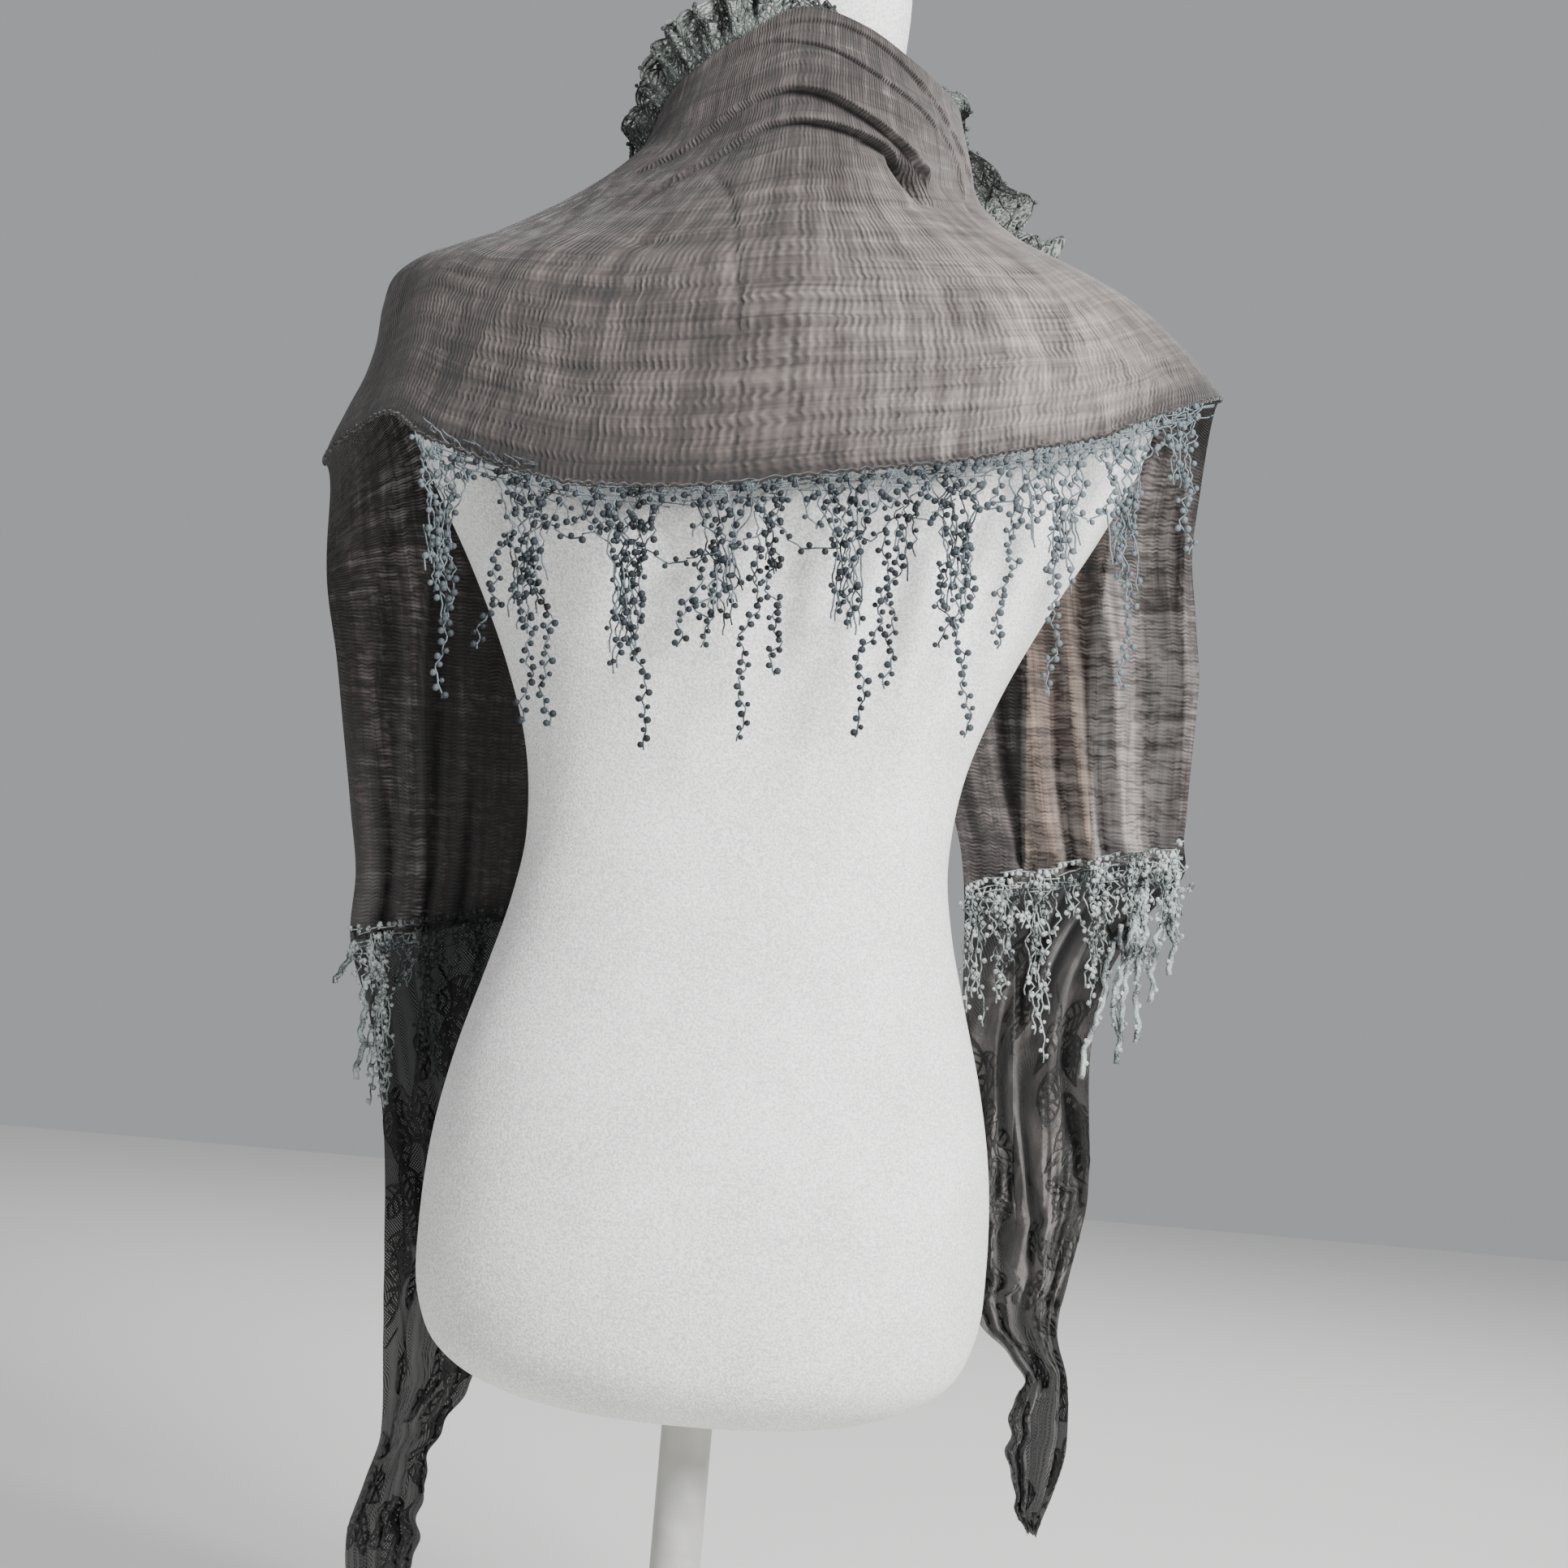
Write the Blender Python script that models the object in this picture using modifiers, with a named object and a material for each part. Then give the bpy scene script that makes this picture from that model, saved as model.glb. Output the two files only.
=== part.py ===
"""Lace shawl worn over a limbless dress form on a plain round stand.

Metres, +Z up. The back of the form faces -Y and the floor is z = 0. The origin lies on the floor
under the middle of the base. LEFT and RIGHT are as seen from behind, from -Y.
"""

import math

import bmesh
import bpy
import numpy as np

CLOTH_WALL = 0.0015
TRIM_WALL = 0.0014
SEAM_GAP = 0.0003
SEAM_DROP = 0.0005
CLEARANCE = 0.004

LEFT = -1
RIGHT = 1

# Smooth form. Each row is one ring: height, half width, depth behind and depth in front of x = y = 0.
FORM_POWER = 2.4
FORM_SEGMENTS = 28
FORM_RINGS = (
    # z, half_width, back, front
    (0.2450, 0.0600, 0.0400, 0.0420),
    (0.2500, 0.0920, 0.0620, 0.0640),
    (0.2600, 0.1250, 0.0860, 0.0860),
    (0.2750, 0.1490, 0.1020, 0.0990),
    (0.3000, 0.1630, 0.1120, 0.1060),
    (0.3450, 0.1672, 0.1165, 0.1080),
    (0.4000, 0.1640, 0.1130, 0.1040),
    (0.4500, 0.1545, 0.1020, 0.0980),
    (0.5000, 0.1405, 0.0890, 0.0920),
    (0.5400, 0.1300, 0.0810, 0.0880),
    (0.5800, 0.1245, 0.0770, 0.0860),
    (0.6300, 0.1295, 0.0800, 0.0900),
    (0.6800, 0.1460, 0.0905, 0.1060),
    (0.7300, 0.1695, 0.0990, 0.1240),
    (0.7800, 0.1970, 0.1060, 0.1280),
    (0.8250, 0.2175, 0.1080, 0.1190),
    (0.8550, 0.2235, 0.1065, 0.1090),
    (0.8780, 0.2200, 0.1035, 0.0990),
    (0.8920, 0.2100, 0.1005, 0.0930),
    (0.9040, 0.1910, 0.0970, 0.0870),
    (0.9180, 0.1620, 0.0920, 0.0810),
    (0.9340, 0.1300, 0.0850, 0.0750),
    (0.9520, 0.1020, 0.0750, 0.0680),
    (0.9720, 0.0795, 0.0620, 0.0640),
    (0.9950, 0.0635, 0.0510, 0.0640),
    (1.0300, 0.0580, 0.0460, 0.0660),
    (1.1000, 0.0575, 0.0450, 0.0670),
    (1.1140, 0.0520, 0.0400, 0.0620),
    (1.1200, 0.0380, 0.0270, 0.0490),
)

BASE_RADIUS = 0.140
BASE_HEIGHT = 0.012
BASE_ROUNDING = 0.002
BASE_SEGMENTS = 48
POLE_SEGMENTS = 24
POLE_RADIUS = 0.015
FORM_BOTTOM = FORM_RINGS[0][0]

# Half width of the worn cloth where it turns over the shoulders, by height and side.
CLOTH_POWER = 2.4
RIDGE_LEFT = (
    # z, half_width
    (0.770, 0.2628),
    (0.790, 0.2606),
    (0.815, 0.2508),
    (0.835, 0.2420),
    (0.855, 0.2370),
    (0.879, 0.2348),
    (0.8965, 0.2291),
    (0.9073, 0.2156),
    (0.9225, 0.1790),
    (0.948, 0.1340),
    (0.970, 0.1030),
    (0.982, 0.0910),
    (1.005, 0.0850),
    (1.060, 0.0800),
)
RIDGE_RIGHT = (
    # z, half_width
    (0.780, 0.2550),
    (0.820, 0.2600),
    (0.861, 0.2620),
    (0.876, 0.2535),
    (0.896, 0.2326),
    (0.9177, 0.2040),
    (0.9285, 0.1816),
    (0.9377, 0.1580),
    (0.9461, 0.1370),
    (0.9638, 0.1120),
    (0.9766, 0.1048),
    (0.9894, 0.1015),
    (1.0279, 0.0912),
    (1.060, 0.0840),
)
# Depth of the cloth behind x = y = 0 along the spine.
BACK_DEPTH = (
    # z, depth
    (0.770, 0.1225),
    (0.820, 0.1240),
    (0.860, 0.1220),
    (0.900, 0.1150),
    (0.930, 0.1060),
    (0.960, 0.0950),
    (0.990, 0.0880),
    (1.060, 0.0800),
)
# Heights of the two long edges across the back, by the share of the half width.
NECK_EDGE = (
    # share, z
    (-1.00, 0.985),
    (-0.90, 1.009),
    (-0.75, 1.021),
    (-0.42, 1.040),
    (0.00, 1.059),
    (0.42, 1.050),
    (0.68, 1.037),
    (0.85, 1.028),
    (1.00, 1.020),
)
HEM_EDGE = (
    # share, z
    (-1.00, 0.784),
    (-0.93, 0.801),
    (-0.86, 0.810),
    (-0.76, 0.798),
    (-0.64, 0.788),
    (-0.52, 0.780),
    (-0.41, 0.776),
    (-0.17, 0.779),
    (0.11, 0.792),
    (0.40, 0.806),
    (0.53, 0.815),
    (0.71, 0.829),
    (0.88, 0.852),
    (1.00, 0.867),
)
# Arched folds of the slumped collar: height on the spine, how far it stands out, half breadth.
COLLAR_FOLDS = (
    # z, out, breadth
    (1.023, 0.0065, 0.0085),
    (0.999, 0.0050, 0.0060),
    (0.976, 0.0025, 0.0075),
)
COLLAR_MIDDLE = 0.006
COLLAR_ARCH = 6.0

# The two hanging ends, by height: inner and outer edge as distances from x = 0.
TAIL_LEFT = (
    # z, inner, outer
    (0.800, 0.0850, 0.2600),
    (0.764, 0.0850, 0.2680),
    (0.725, 0.0850, 0.2641),
    (0.677, 0.0860, 0.2549),
    (0.629, 0.0880, 0.2473),
    (0.580, 0.0900, 0.2385),
    (0.545, 0.0930, 0.2325),
    (0.500, 0.0960, 0.2320),
    (0.458, 0.1020, 0.2170),
    (0.400, 0.1100, 0.2045),
    (0.350, 0.1180, 0.1985),
    (0.300, 0.1280, 0.1945),
    (0.256, 0.1390, 0.1910),
    (0.232, 0.1375, 0.1885),
    (0.205, 0.1530, 0.1866),
    (0.175, 0.1580, 0.1935),
    (0.139, 0.1595, 0.2018),
    (0.110, 0.1640, 0.1985),
    (0.088, 0.1750, 0.1880),
)
TAIL_RIGHT = (
    # z, inner, outer
    (0.867, 0.0860, 0.2620),
    (0.820, 0.0880, 0.2595),
    (0.790, 0.0900, 0.2585),
    (0.740, 0.0960, 0.2655),
    (0.700, 0.1050, 0.2705),
    (0.650, 0.1180, 0.2692),
    (0.610, 0.1310, 0.2690),
    (0.590, 0.1370, 0.2720),
    (0.560, 0.1420, 0.2520),
    (0.520, 0.1450, 0.2310),
    (0.470, 0.1480, 0.2255),
    (0.380, 0.1570, 0.2327),
    (0.330, 0.1650, 0.2250),
    (0.300, 0.1720, 0.2205),
    (0.272, 0.2010, 0.2280),
    (0.236, 0.1955, 0.2300),
    (0.205, 0.2000, 0.2240),
    (0.185, 0.2070, 0.2175),
    (0.178, 0.2090, 0.2160),
)
# The gauze ends and the lace end begins at seam_in (inner edge) to seam_out (outer edge).
TAILS = {
    LEFT: {
        "ridge": RIDGE_LEFT,
        "table": TAIL_LEFT,
        "seam_in": 0.530,
        "seam_out": 0.500,
        "tip": 0.088,
        "turn": 0.7,
    },
    RIGHT: {
        "ridge": RIDGE_RIGHT,
        "table": TAIL_RIGHT,
        "seam_in": 0.562,
        "seam_out": 0.598,
        "tip": 0.178,
        "turn": 2.1,
    },
}
HANG_DEPTH = 0.118
HANG_SLOPE = 0.35
HANG_FROM = 0.100
# How far the ends drift back towards the form below the seam, and how deep the bunch curls.
HANG_DRIFT = (
    # z, drift, curl
    (0.080, -0.030, 0.004),
    (0.140, -0.028, 0.014),
    (0.220, -0.022, 0.016),
    (0.300, -0.010, 0.014),
    (0.420, 0.000, 0.006),
    (0.520, 0.000, 0.000),
    (1.100, 0.000, 0.000),
)
PLEATS = 5
PLEAT_DEPTH = 0.0110
SHOULDER_REACH = 0.14
FALL_ROUND = 0.12

# Where the stretches of gauze part at the ridges: y = -0.15 mm behind and 0.3 mm in front.
RIDGE_TURN = 0.9998
RIDGE_DOWN = 0.0004

GAUZE_COLUMNS = 26
BACK_COLUMNS = 32
BACK_ROWS = 14
FALL_ROWS = 12
LACE_ROWS = 13

# Trim along the hem: a heading strip, legs down to a garland, and strands below it.
TRIM_DROP = 0.0008
HEADING = 0.0035
LEG_SHORT = 0.0080
LEG_LONG = 0.0150
GARLAND = 0.0022
STRAND_WIDTH = 0.0026
STRAND_PITCH = 0.0140
STRAND_ROWS = 3
STRAND_SWAY = 0.0035
SWAY_LENGTH = 0.016
SWAY_SHIFT = 2.4
BACK_FLARE = 0.002
CROSS_FLARE = 0.001
SHORT_STRANDS = (0.022, 0.036, 0.016, 0.030, 0.044)
LONG_STRANDS = (
    # x, tip_z
    (-0.2050, 0.7100),
    (-0.1705, 0.6510),
    (-0.1525, 0.6800),
    (-0.1219, 0.6420),
    (-0.1080, 0.6405),
    (-0.0549, 0.6320),
    (-0.0418, 0.6900),
    (-0.0282, 0.6910),
    (-0.0042, 0.6410),
    (0.0138, 0.6790),
    (0.0607, 0.6490),
    (0.0747, 0.6770),
    (0.1029, 0.7025),
    (0.1208, 0.6540),
    (0.1350, 0.7050),
    (0.1663, 0.6810),
    (0.2088, 0.6890),
    (0.2420, 0.7700),
)
CROSS_STRANDS = (0.060, 0.082, 0.050, 0.098, 0.070, 0.104, 0.045)
CROSS_OFFSET = 0.0020
CROSS_START = 0.030
CROSS_END = 0.985
CROSS_POINTS = 41

# Crumpled lace along the neck edge: turn past the spine, lean from outward to upward, width.
NECK_TRIM = (
    # turn, lean_deg, width
    (-1.24, 0.0, 0.014),
    (-1.12, 15.0, 0.030),
    (-1.00, 42.0, 0.022),
    (-0.80, 52.0, 0.022),
    (-0.60, 58.0, 0.033),
    (-0.45, 68.0, 0.036),
    (-0.28, 78.0, 0.034),
    (-0.10, 100.0, 0.026),
    (0.10, 165.0, 0.016),
    (0.35, 205.0, 0.016),
    (0.65, 190.0, 0.016),
    (0.82, 100.0, 0.014),
    (1.00, -20.0, 0.026),
    (1.10, -20.0, 0.040),
    (1.20, -6.0, 0.058),
    (1.27, -4.0, 0.046),
    (1.34, -8.0, 0.020),
)
NECK_TRIM_ROOT = 0.0013
NECK_TRIM_LIFT = 0.0030
NECK_TRIM_COLUMNS = 56
NECK_TRIM_ROWS = 3
NECK_WAVES = 17
NECK_WAVE_DEPTH = 0.0045


def curve(at, rows, column):
    """Smooth curve through a table's column, read at heights or shares: a cubic with limited slopes."""
    table = np.array(sorted(rows))
    xs = table[:, 0]
    ys = table[:, column]
    steps = np.diff(ys) / np.diff(xs)
    slopes = np.concatenate(([steps[0]], (steps[1:] + steps[:-1]) / 2, [steps[-1]]))
    turning = np.concatenate(([False], steps[1:] * steps[:-1] <= 0, [False]))
    slopes[turning] = 0
    at = np.clip(at, xs[0], xs[-1])
    k = np.clip(np.searchsorted(xs, at) - 1, 0, len(xs) - 2)
    span = xs[k + 1] - xs[k]
    f = (at - xs[k]) / span
    start = (2 * f**3 - 3 * f**2 + 1) * ys[k] + (f**3 - 2 * f**2 + f) * span * slopes[k]
    end = (3 * f**2 - 2 * f**3) * ys[k + 1] + (f**3 - f**2) * span * slopes[k + 1]
    return start + end


def smooth_step(value, low, high):
    """0 below low, 1 above high, and an S between them."""
    f = np.clip((value - low) / (high - low), 0, 1)
    return f * f * (3 - 2 * f)


def clear_of_form(x, y, z):
    """Moves points out sideways from x = y = 0 until they clear the form by CLEARANCE."""
    half = curve(z, FORM_RINGS, 1)
    depth = np.where(y < 0, curve(z, FORM_RINGS, 2), curve(z, FORM_RINGS, 3))
    share = (np.abs(x / half) ** FORM_POWER + np.abs(y / depth) ** FORM_POWER) ** (1 / FORM_POWER)
    wanted = 1 + CLEARANCE / np.minimum(half, depth)
    push = np.where(z < FORM_BOTTOM, 1, np.maximum(wanted / np.maximum(share, 0.2), 1))
    return x * push, y * push


def back_point(turn, across):
    """Gauze behind the ridge. turn runs -1 to 1 from shoulder to shoulder, across 0 to 1 from neck to hem.

    Each height is half a superellipse, and the folds of the collar stand out from it.
    """
    angle = turn * math.pi / 2
    power = 2 / CLOTH_POWER
    share = np.sign(turn) * np.abs(np.sin(angle)) ** power
    top = curve(share, NECK_EDGE, 1)
    z = top + (curve(share, HEM_EDGE, 1) - top) * across
    right_side = (1 + np.sin(angle)) / 2
    half = curve(z, RIDGE_LEFT, 1) * (1 - right_side) + curve(z, RIDGE_RIGHT, 1) * right_side
    depth = curve(z, BACK_DEPTH, 1)
    x = half * share
    y = -depth * np.maximum(np.cos(angle), 0) ** power
    swell = np.zeros_like(z)
    for height, out, breadth in COLLAR_FOLDS:
        arch = height - COLLAR_ARCH * (x - COLLAR_MIDDLE) ** 2
        swell = swell + out * np.exp(-(((z - arch) / breadth) ** 2))
    swell = swell * np.maximum(np.cos(angle), 0) ** 0.5
    grow = 1 + swell / np.maximum(np.hypot(x, y), 0.03)
    x, y = clear_of_form(x * grow, y * grow, z)
    return np.stack((x, y, z), -1)


def pleat(across, turn):
    """Uneven pleats across a hanging end, between 0 and 1."""
    phase = PLEATS * across + 0.16 * np.sin(2 * math.pi * (1.4 * across + 0.13 * turn)) + 0.1 * turn
    return 0.5 - 0.5 * np.cos(2 * math.pi * phase)


def seam_height(side, across):
    """Height at which the gauze of one end stops and its lace starts."""
    tail = TAILS[side]
    return tail["seam_in"] + (tail["seam_out"] - tail["seam_in"]) * across


def hang_depth(x, z):
    """Distance in front of x = y = 0 at which the ends hang, less towards the outside."""
    return HANG_DEPTH - HANG_SLOPE * (np.abs(x) - HANG_FROM) + curve(z, HANG_DRIFT, 1)


def fall_point(side, down, across):
    """Gauze in front of the ridge. down runs 0 to 1 from ridge to seam, across from neck to hem edge."""
    tail = TAILS[side]
    top = curve(np.array(float(side)), NECK_EDGE, 1)
    ridge_z = top + (curve(np.array(float(side)), HEM_EDGE, 1) - top) * across
    ridge_x = curve(ridge_z, tail["ridge"], 1)
    drop = (1 + FALL_ROUND) * down**2 / (down + FALL_ROUND)
    z = ridge_z - (ridge_z - seam_height(side, across)) * drop
    inner = curve(z, tail["table"], 1)
    outer = curve(z, tail["table"], 2)
    settle = smooth_step(down, 0, 0.45)
    x = ridge_x * (1 - settle) + (inner + (outer - inner) * across) * settle
    depth = PLEAT_DEPTH * smooth_step(down, 0.25, 0.75)
    y = hang_depth(x, z) * (1 - np.exp(-down / SHOULDER_REACH)) + depth * 2 * pleat(across, tail["turn"])
    x, y = clear_of_form(x, y, z)
    return np.stack((side * x, y, z), -1)


def lace_point(side, down, across):
    """Lace end below the seam. down runs 0 to 1 from the seam to the tip."""
    tail = TAILS[side]
    seam = seam_height(side, across)
    z = seam - SEAM_DROP - (seam - SEAM_DROP - tail["tip"]) * down
    inner = curve(z, tail["table"], 1)
    outer = curve(z, tail["table"], 2)
    width = outer - inner
    x = inner + width * across
    curl = curve(z, HANG_DRIFT, 2) * (1 - (2 * across - 1) ** 2)
    depth = PLEAT_DEPTH * np.clip(width / 0.12, 0.0, 1.0) ** 1.5
    y = hang_depth(x, z) + curl + depth * 2 * pleat(across, tail["turn"])
    x, y = clear_of_form(x, y, z)
    return np.stack((side * x, y, z), -1)


def grid(point, firsts, seconds):
    """Points and unit normals of a surface on a grid of two parameters."""
    a, b = np.meshgrid(firsts, seconds, indexing="ij")
    step = 1e-3
    along = point(a + step, b) - point(a - step, b)
    over = point(a, b + step) - point(a, b - step)
    normals = np.cross(over, along)
    normals /= np.linalg.norm(normals, axis=-1, keepdims=True)
    return point(a, b), normals


def material(name, colour, roughness, metallic=0.0):
    """Principled material of one colour."""
    made = bpy.data.materials.new(name)
    made.use_nodes = True
    shader = made.node_tree.nodes["Principled BSDF"]
    shader.inputs["Base Color"].default_value = (*colour, 1.0)
    shader.inputs["Roughness"].default_value = roughness
    shader.inputs["Metallic"].default_value = metallic
    return made


def add_mesh(name, mesh, finish, parts):
    """Makes a mesh an object of the shawl, shaded smooth."""
    node = bpy.data.objects.new(name, mesh)
    mesh.materials.append(finish)
    mesh.shade_smooth()
    parts.objects.link(node)
    return node


def wall(name, points, normals, thickness, finish, parts, kept=None):
    """Closed wall of even thickness about a grid of points. Cells that aren't kept are open."""
    rows, columns = points.shape[:2]
    if kept is None:
        kept = np.ones((rows - 1, columns - 1), bool)
    bm = bmesh.new()
    layers = {}

    def corner(i, j, side):
        key = (i, j, side)
        if key not in layers:
            layers[key] = bm.verts.new(points[i, j] + normals[i, j] * side * thickness / 2)
        return layers[key]

    def is_kept(i, j):
        return 0 <= i < rows - 1 and 0 <= j < columns - 1 and kept[i, j]

    for i in range(rows - 1):
        for j in range(columns - 1):
            if not kept[i, j]:
                continue
            loop = ((i, j), (i, j + 1), (i + 1, j + 1), (i + 1, j))
            for trio in ((0, 1, 2), (0, 2, 3)):
                bm.faces.new([corner(*loop[k], 1) for k in trio])
                bm.faces.new([corner(*loop[k], -1) for k in reversed(trio)])
            beyond = ((i - 1, j), (i, j + 1), (i + 1, j), (i, j - 1))
            for k, cell in enumerate(beyond):
                if is_kept(*cell):
                    continue
                start = loop[k]
                end = loop[(k + 1) % 4]
                rim = (corner(*end, 1), corner(*start, 1), corner(*start, -1), corner(*end, -1))
                halves = ((0, 1, 3), (1, 2, 3)) if start < end else ((0, 1, 2), (0, 2, 3))
                for trio in halves:
                    bm.faces.new([rim[n] for n in trio])
    mesh = bpy.data.meshes.new(name)
    bm.to_mesh(mesh)
    bm.free()
    return add_mesh(name, mesh, finish, parts)


def make_form(finish, parts):
    """Dress form: superellipse rings from the flat underside to the closed top of the neck."""
    bm = bmesh.new()
    angles = np.arange(FORM_SEGMENTS) * 2 * math.pi / FORM_SEGMENTS
    power = 2 / FORM_POWER
    rings = []
    for z, half, back, front in FORM_RINGS:
        x = half * np.sign(np.cos(angles)) * np.abs(np.cos(angles)) ** power
        reach = np.where(np.sin(angles) < 0, back, front)
        y = reach * np.sign(np.sin(angles)) * np.abs(np.sin(angles)) ** power
        rings.append([bm.verts.new((a, b, z)) for a, b in zip(x, y)])
    for lower, upper in zip(rings, rings[1:]):
        for k in range(FORM_SEGMENTS):
            following = (k + 1) % FORM_SEGMENTS
            bm.faces.new((lower[k], lower[following], upper[following], upper[k]))
    bm.faces.new(list(reversed(rings[0])))
    bm.faces.new(rings[-1])
    mesh = bpy.data.meshes.new("dress_form")
    bm.to_mesh(mesh)
    bm.free()
    return add_mesh("dress_form", mesh, finish, parts)


def make_cylinder(name, radius, low, high, segments, rounding, finish, parts):
    """Upright cylinder between two heights, with rounded edges if asked."""
    bm = bmesh.new()
    bmesh.ops.create_cone(
        bm, cap_ends=True, segments=segments, radius1=radius, radius2=radius, depth=high - low
    )
    mesh = bpy.data.meshes.new(name)
    bm.to_mesh(mesh)
    bm.free()
    node = add_mesh(name, mesh, finish, parts)
    node.location = (0, 0, (low + high) / 2)
    if rounding:
        bevel = node.modifiers.new("rounding", "BEVEL")
        bevel.width = rounding
        bevel.segments = 2
        bevel.limit_method = "ANGLE"
    return node


def back_turns():
    """Columns of the back stretch, from ridge to ridge."""
    return np.linspace(-RIDGE_TURN, RIDGE_TURN, BACK_COLUMNS + 1)


def hem_line():
    """Points and outward directions of the hem across the back, short of the ridges."""
    turns = back_turns()[1:-1]
    points, normals = grid(back_point, turns, np.array([1.0]))
    points = points[:, 0]
    normals = normals[:, 0].copy()
    normals[:, 2] = 0
    normals /= np.linalg.norm(normals, axis=1, keepdims=True)
    outward = np.sign((normals[:, :2] * points[:, :2]).sum(1))
    return points, normals * outward[:, None]


def running_length(points):
    """Distance along a line of points, from its first."""
    return np.concatenate(([0.0], np.cumsum(np.linalg.norm(np.diff(points, axis=0), axis=1))))


def make_fringe(name, line, outward, lengths_for, finish, parts, flare):
    """Trim hanging from a line: heading strip, legs, garland and strands, joined as one wall.

    Every strand has a pair of columns. Between the legs and below the garland the cells are open.
    """
    run = running_length(line)
    count = int(run[-1] / STRAND_PITCH)
    middles = (np.arange(count) + 0.5) * run[-1] / count
    edges = np.stack((middles - STRAND_WIDTH / 2, middles + STRAND_WIDTH / 2), 1).ravel()
    top = np.stack([np.interp(edges, run, line[:, k]) for k in range(3)], -1)
    out = np.stack([np.interp(edges, run, outward[:, k]) for k in range(3)], -1)
    along = np.gradient(top, axis=0)
    along[:, 2] = 0
    along /= np.linalg.norm(along, axis=1, keepdims=True)
    lengths = lengths_for(top[::2])
    rows = 4 + STRAND_ROWS
    down = np.zeros((rows, 2 * count))
    legs = np.repeat(np.where(np.arange(count) % 2 == 0, LEG_SHORT, LEG_LONG), 2)
    down[0] = TRIM_DROP
    down[1] = TRIM_DROP + HEADING
    down[2] = down[1] + legs
    down[3] = down[2] + GARLAND
    for k in range(STRAND_ROWS):
        down[4 + k] = down[3] + (np.repeat(lengths, 2) - down[3]) * (k + 1) / STRAND_ROWS
    phase = np.repeat(np.arange(count) * SWAY_SHIFT, 2)
    sway = STRAND_SWAY * np.sin(down / SWAY_LENGTH + phase) * smooth_step(down, 0.01, 0.05)
    away = flare * smooth_step(down, 0, 0.09)
    points = top + out * away[..., None] + along * sway[..., None]
    points[..., 2] -= down
    kept = np.zeros((rows - 1, 2 * count - 1), bool)
    kept[[0, 2]] = True
    kept[1:, ::2] = True
    facing = np.sign(np.cross(along[0], (0.0, 0.0, -1.0)) @ out[0])
    normals = np.broadcast_to(facing * out, points.shape)
    return wall(name, points, normals, TRIM_WALL, finish, parts, kept)


def back_lengths(tops):
    """Strand lengths across the back: the long ones of the table, and short ones between them."""
    lengths = np.array([SHORT_STRANDS[k % len(SHORT_STRANDS)] for k in range(len(tops))])
    for x, tip in LONG_STRANDS:
        nearest = int(np.argmin(np.abs(tops[:, 0] - x)))
        lengths[nearest] = tops[nearest, 2] - tip
    return lengths


def cross_lengths(tops):
    """Strand lengths of a cross band, in a repeat."""
    return np.array([CROSS_STRANDS[k % len(CROSS_STRANDS)] for k in range(len(tops))])


def cross_line(side):
    """Line of the cross band, behind the pleats where the gauze ends, and its outward directions."""
    across = np.linspace(CROSS_START, CROSS_END, CROSS_POINTS)
    z = seam_height(side, across)
    inner = curve(z, TAILS[side]["table"], 1)
    outer = curve(z, TAILS[side]["table"], 2)
    x = inner + (outer - inner) * across
    y = hang_depth(x, z) - CROSS_OFFSET
    points = np.stack((side * x, y, z + SEAM_GAP + HEADING / 2), -1)
    return points, np.tile((0.0, -1.0, 0.0), (CROSS_POINTS, 1))


def neck_trim_point(turn, out):
    """Lace along the neck edge. turn passes 1 where it crosses a ridge, out runs 0 to 1 to its free edge."""
    behind = back_point(np.clip(turn, -1, 1), np.zeros_like(turn))
    before_left = fall_point(LEFT, np.clip(-turn - 1, 0, 1), np.zeros_like(turn))
    before_right = fall_point(RIGHT, np.clip(turn - 1, 0, 1), np.zeros_like(turn))
    edge = np.where((turn < -1)[..., None], before_left, behind)
    edge = np.where((turn > 1)[..., None], before_right, edge)
    lean = np.radians(curve(turn, NECK_TRIM, 1))
    width = curve(turn, NECK_TRIM, 2)
    level = edge * (1.0, 1.0, 0.0)
    level[..., 1] *= np.where(level[..., 1] > 0, 0.35, 1.0)
    level /= np.linalg.norm(level, axis=-1, keepdims=True)
    up = np.array((0.0, 0.0, 1.0))
    spread = level * np.cos(lean)[..., None] + up * np.sin(lean)[..., None]
    lift = up * np.cos(lean)[..., None] - level * np.sin(lean)[..., None]
    reach = NECK_TRIM_ROOT + width * out
    wave = NECK_WAVE_DEPTH * out * np.sin(NECK_WAVES * math.pi * turn) * np.minimum(width / 0.03, 1)
    inside = NECK_TRIM_LIFT * smooth_step(lean, math.radians(70), math.radians(115))
    above = NECK_TRIM_LIFT * (1 - smooth_step(lean, 0, math.radians(45)))
    root = edge - level * inside[..., None] + up * above[..., None]
    return root + spread * reach[..., None] + lift * wave[..., None]


def make_neck_trim(finish, parts):
    """Neck trim with a row of openings along its middle."""
    turns = np.linspace(NECK_TRIM[0][0], NECK_TRIM[-1][0], NECK_TRIM_COLUMNS + 1)
    outs = np.linspace(0, 1, NECK_TRIM_ROWS + 1)
    points, normals = grid(neck_trim_point, turns, outs)
    kept = np.ones((NECK_TRIM_COLUMNS, NECK_TRIM_ROWS), bool)
    kept[1:-1:2, 1] = False
    return wall("neck_trim", points, normals, TRIM_WALL, finish, parts, kept)


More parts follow.
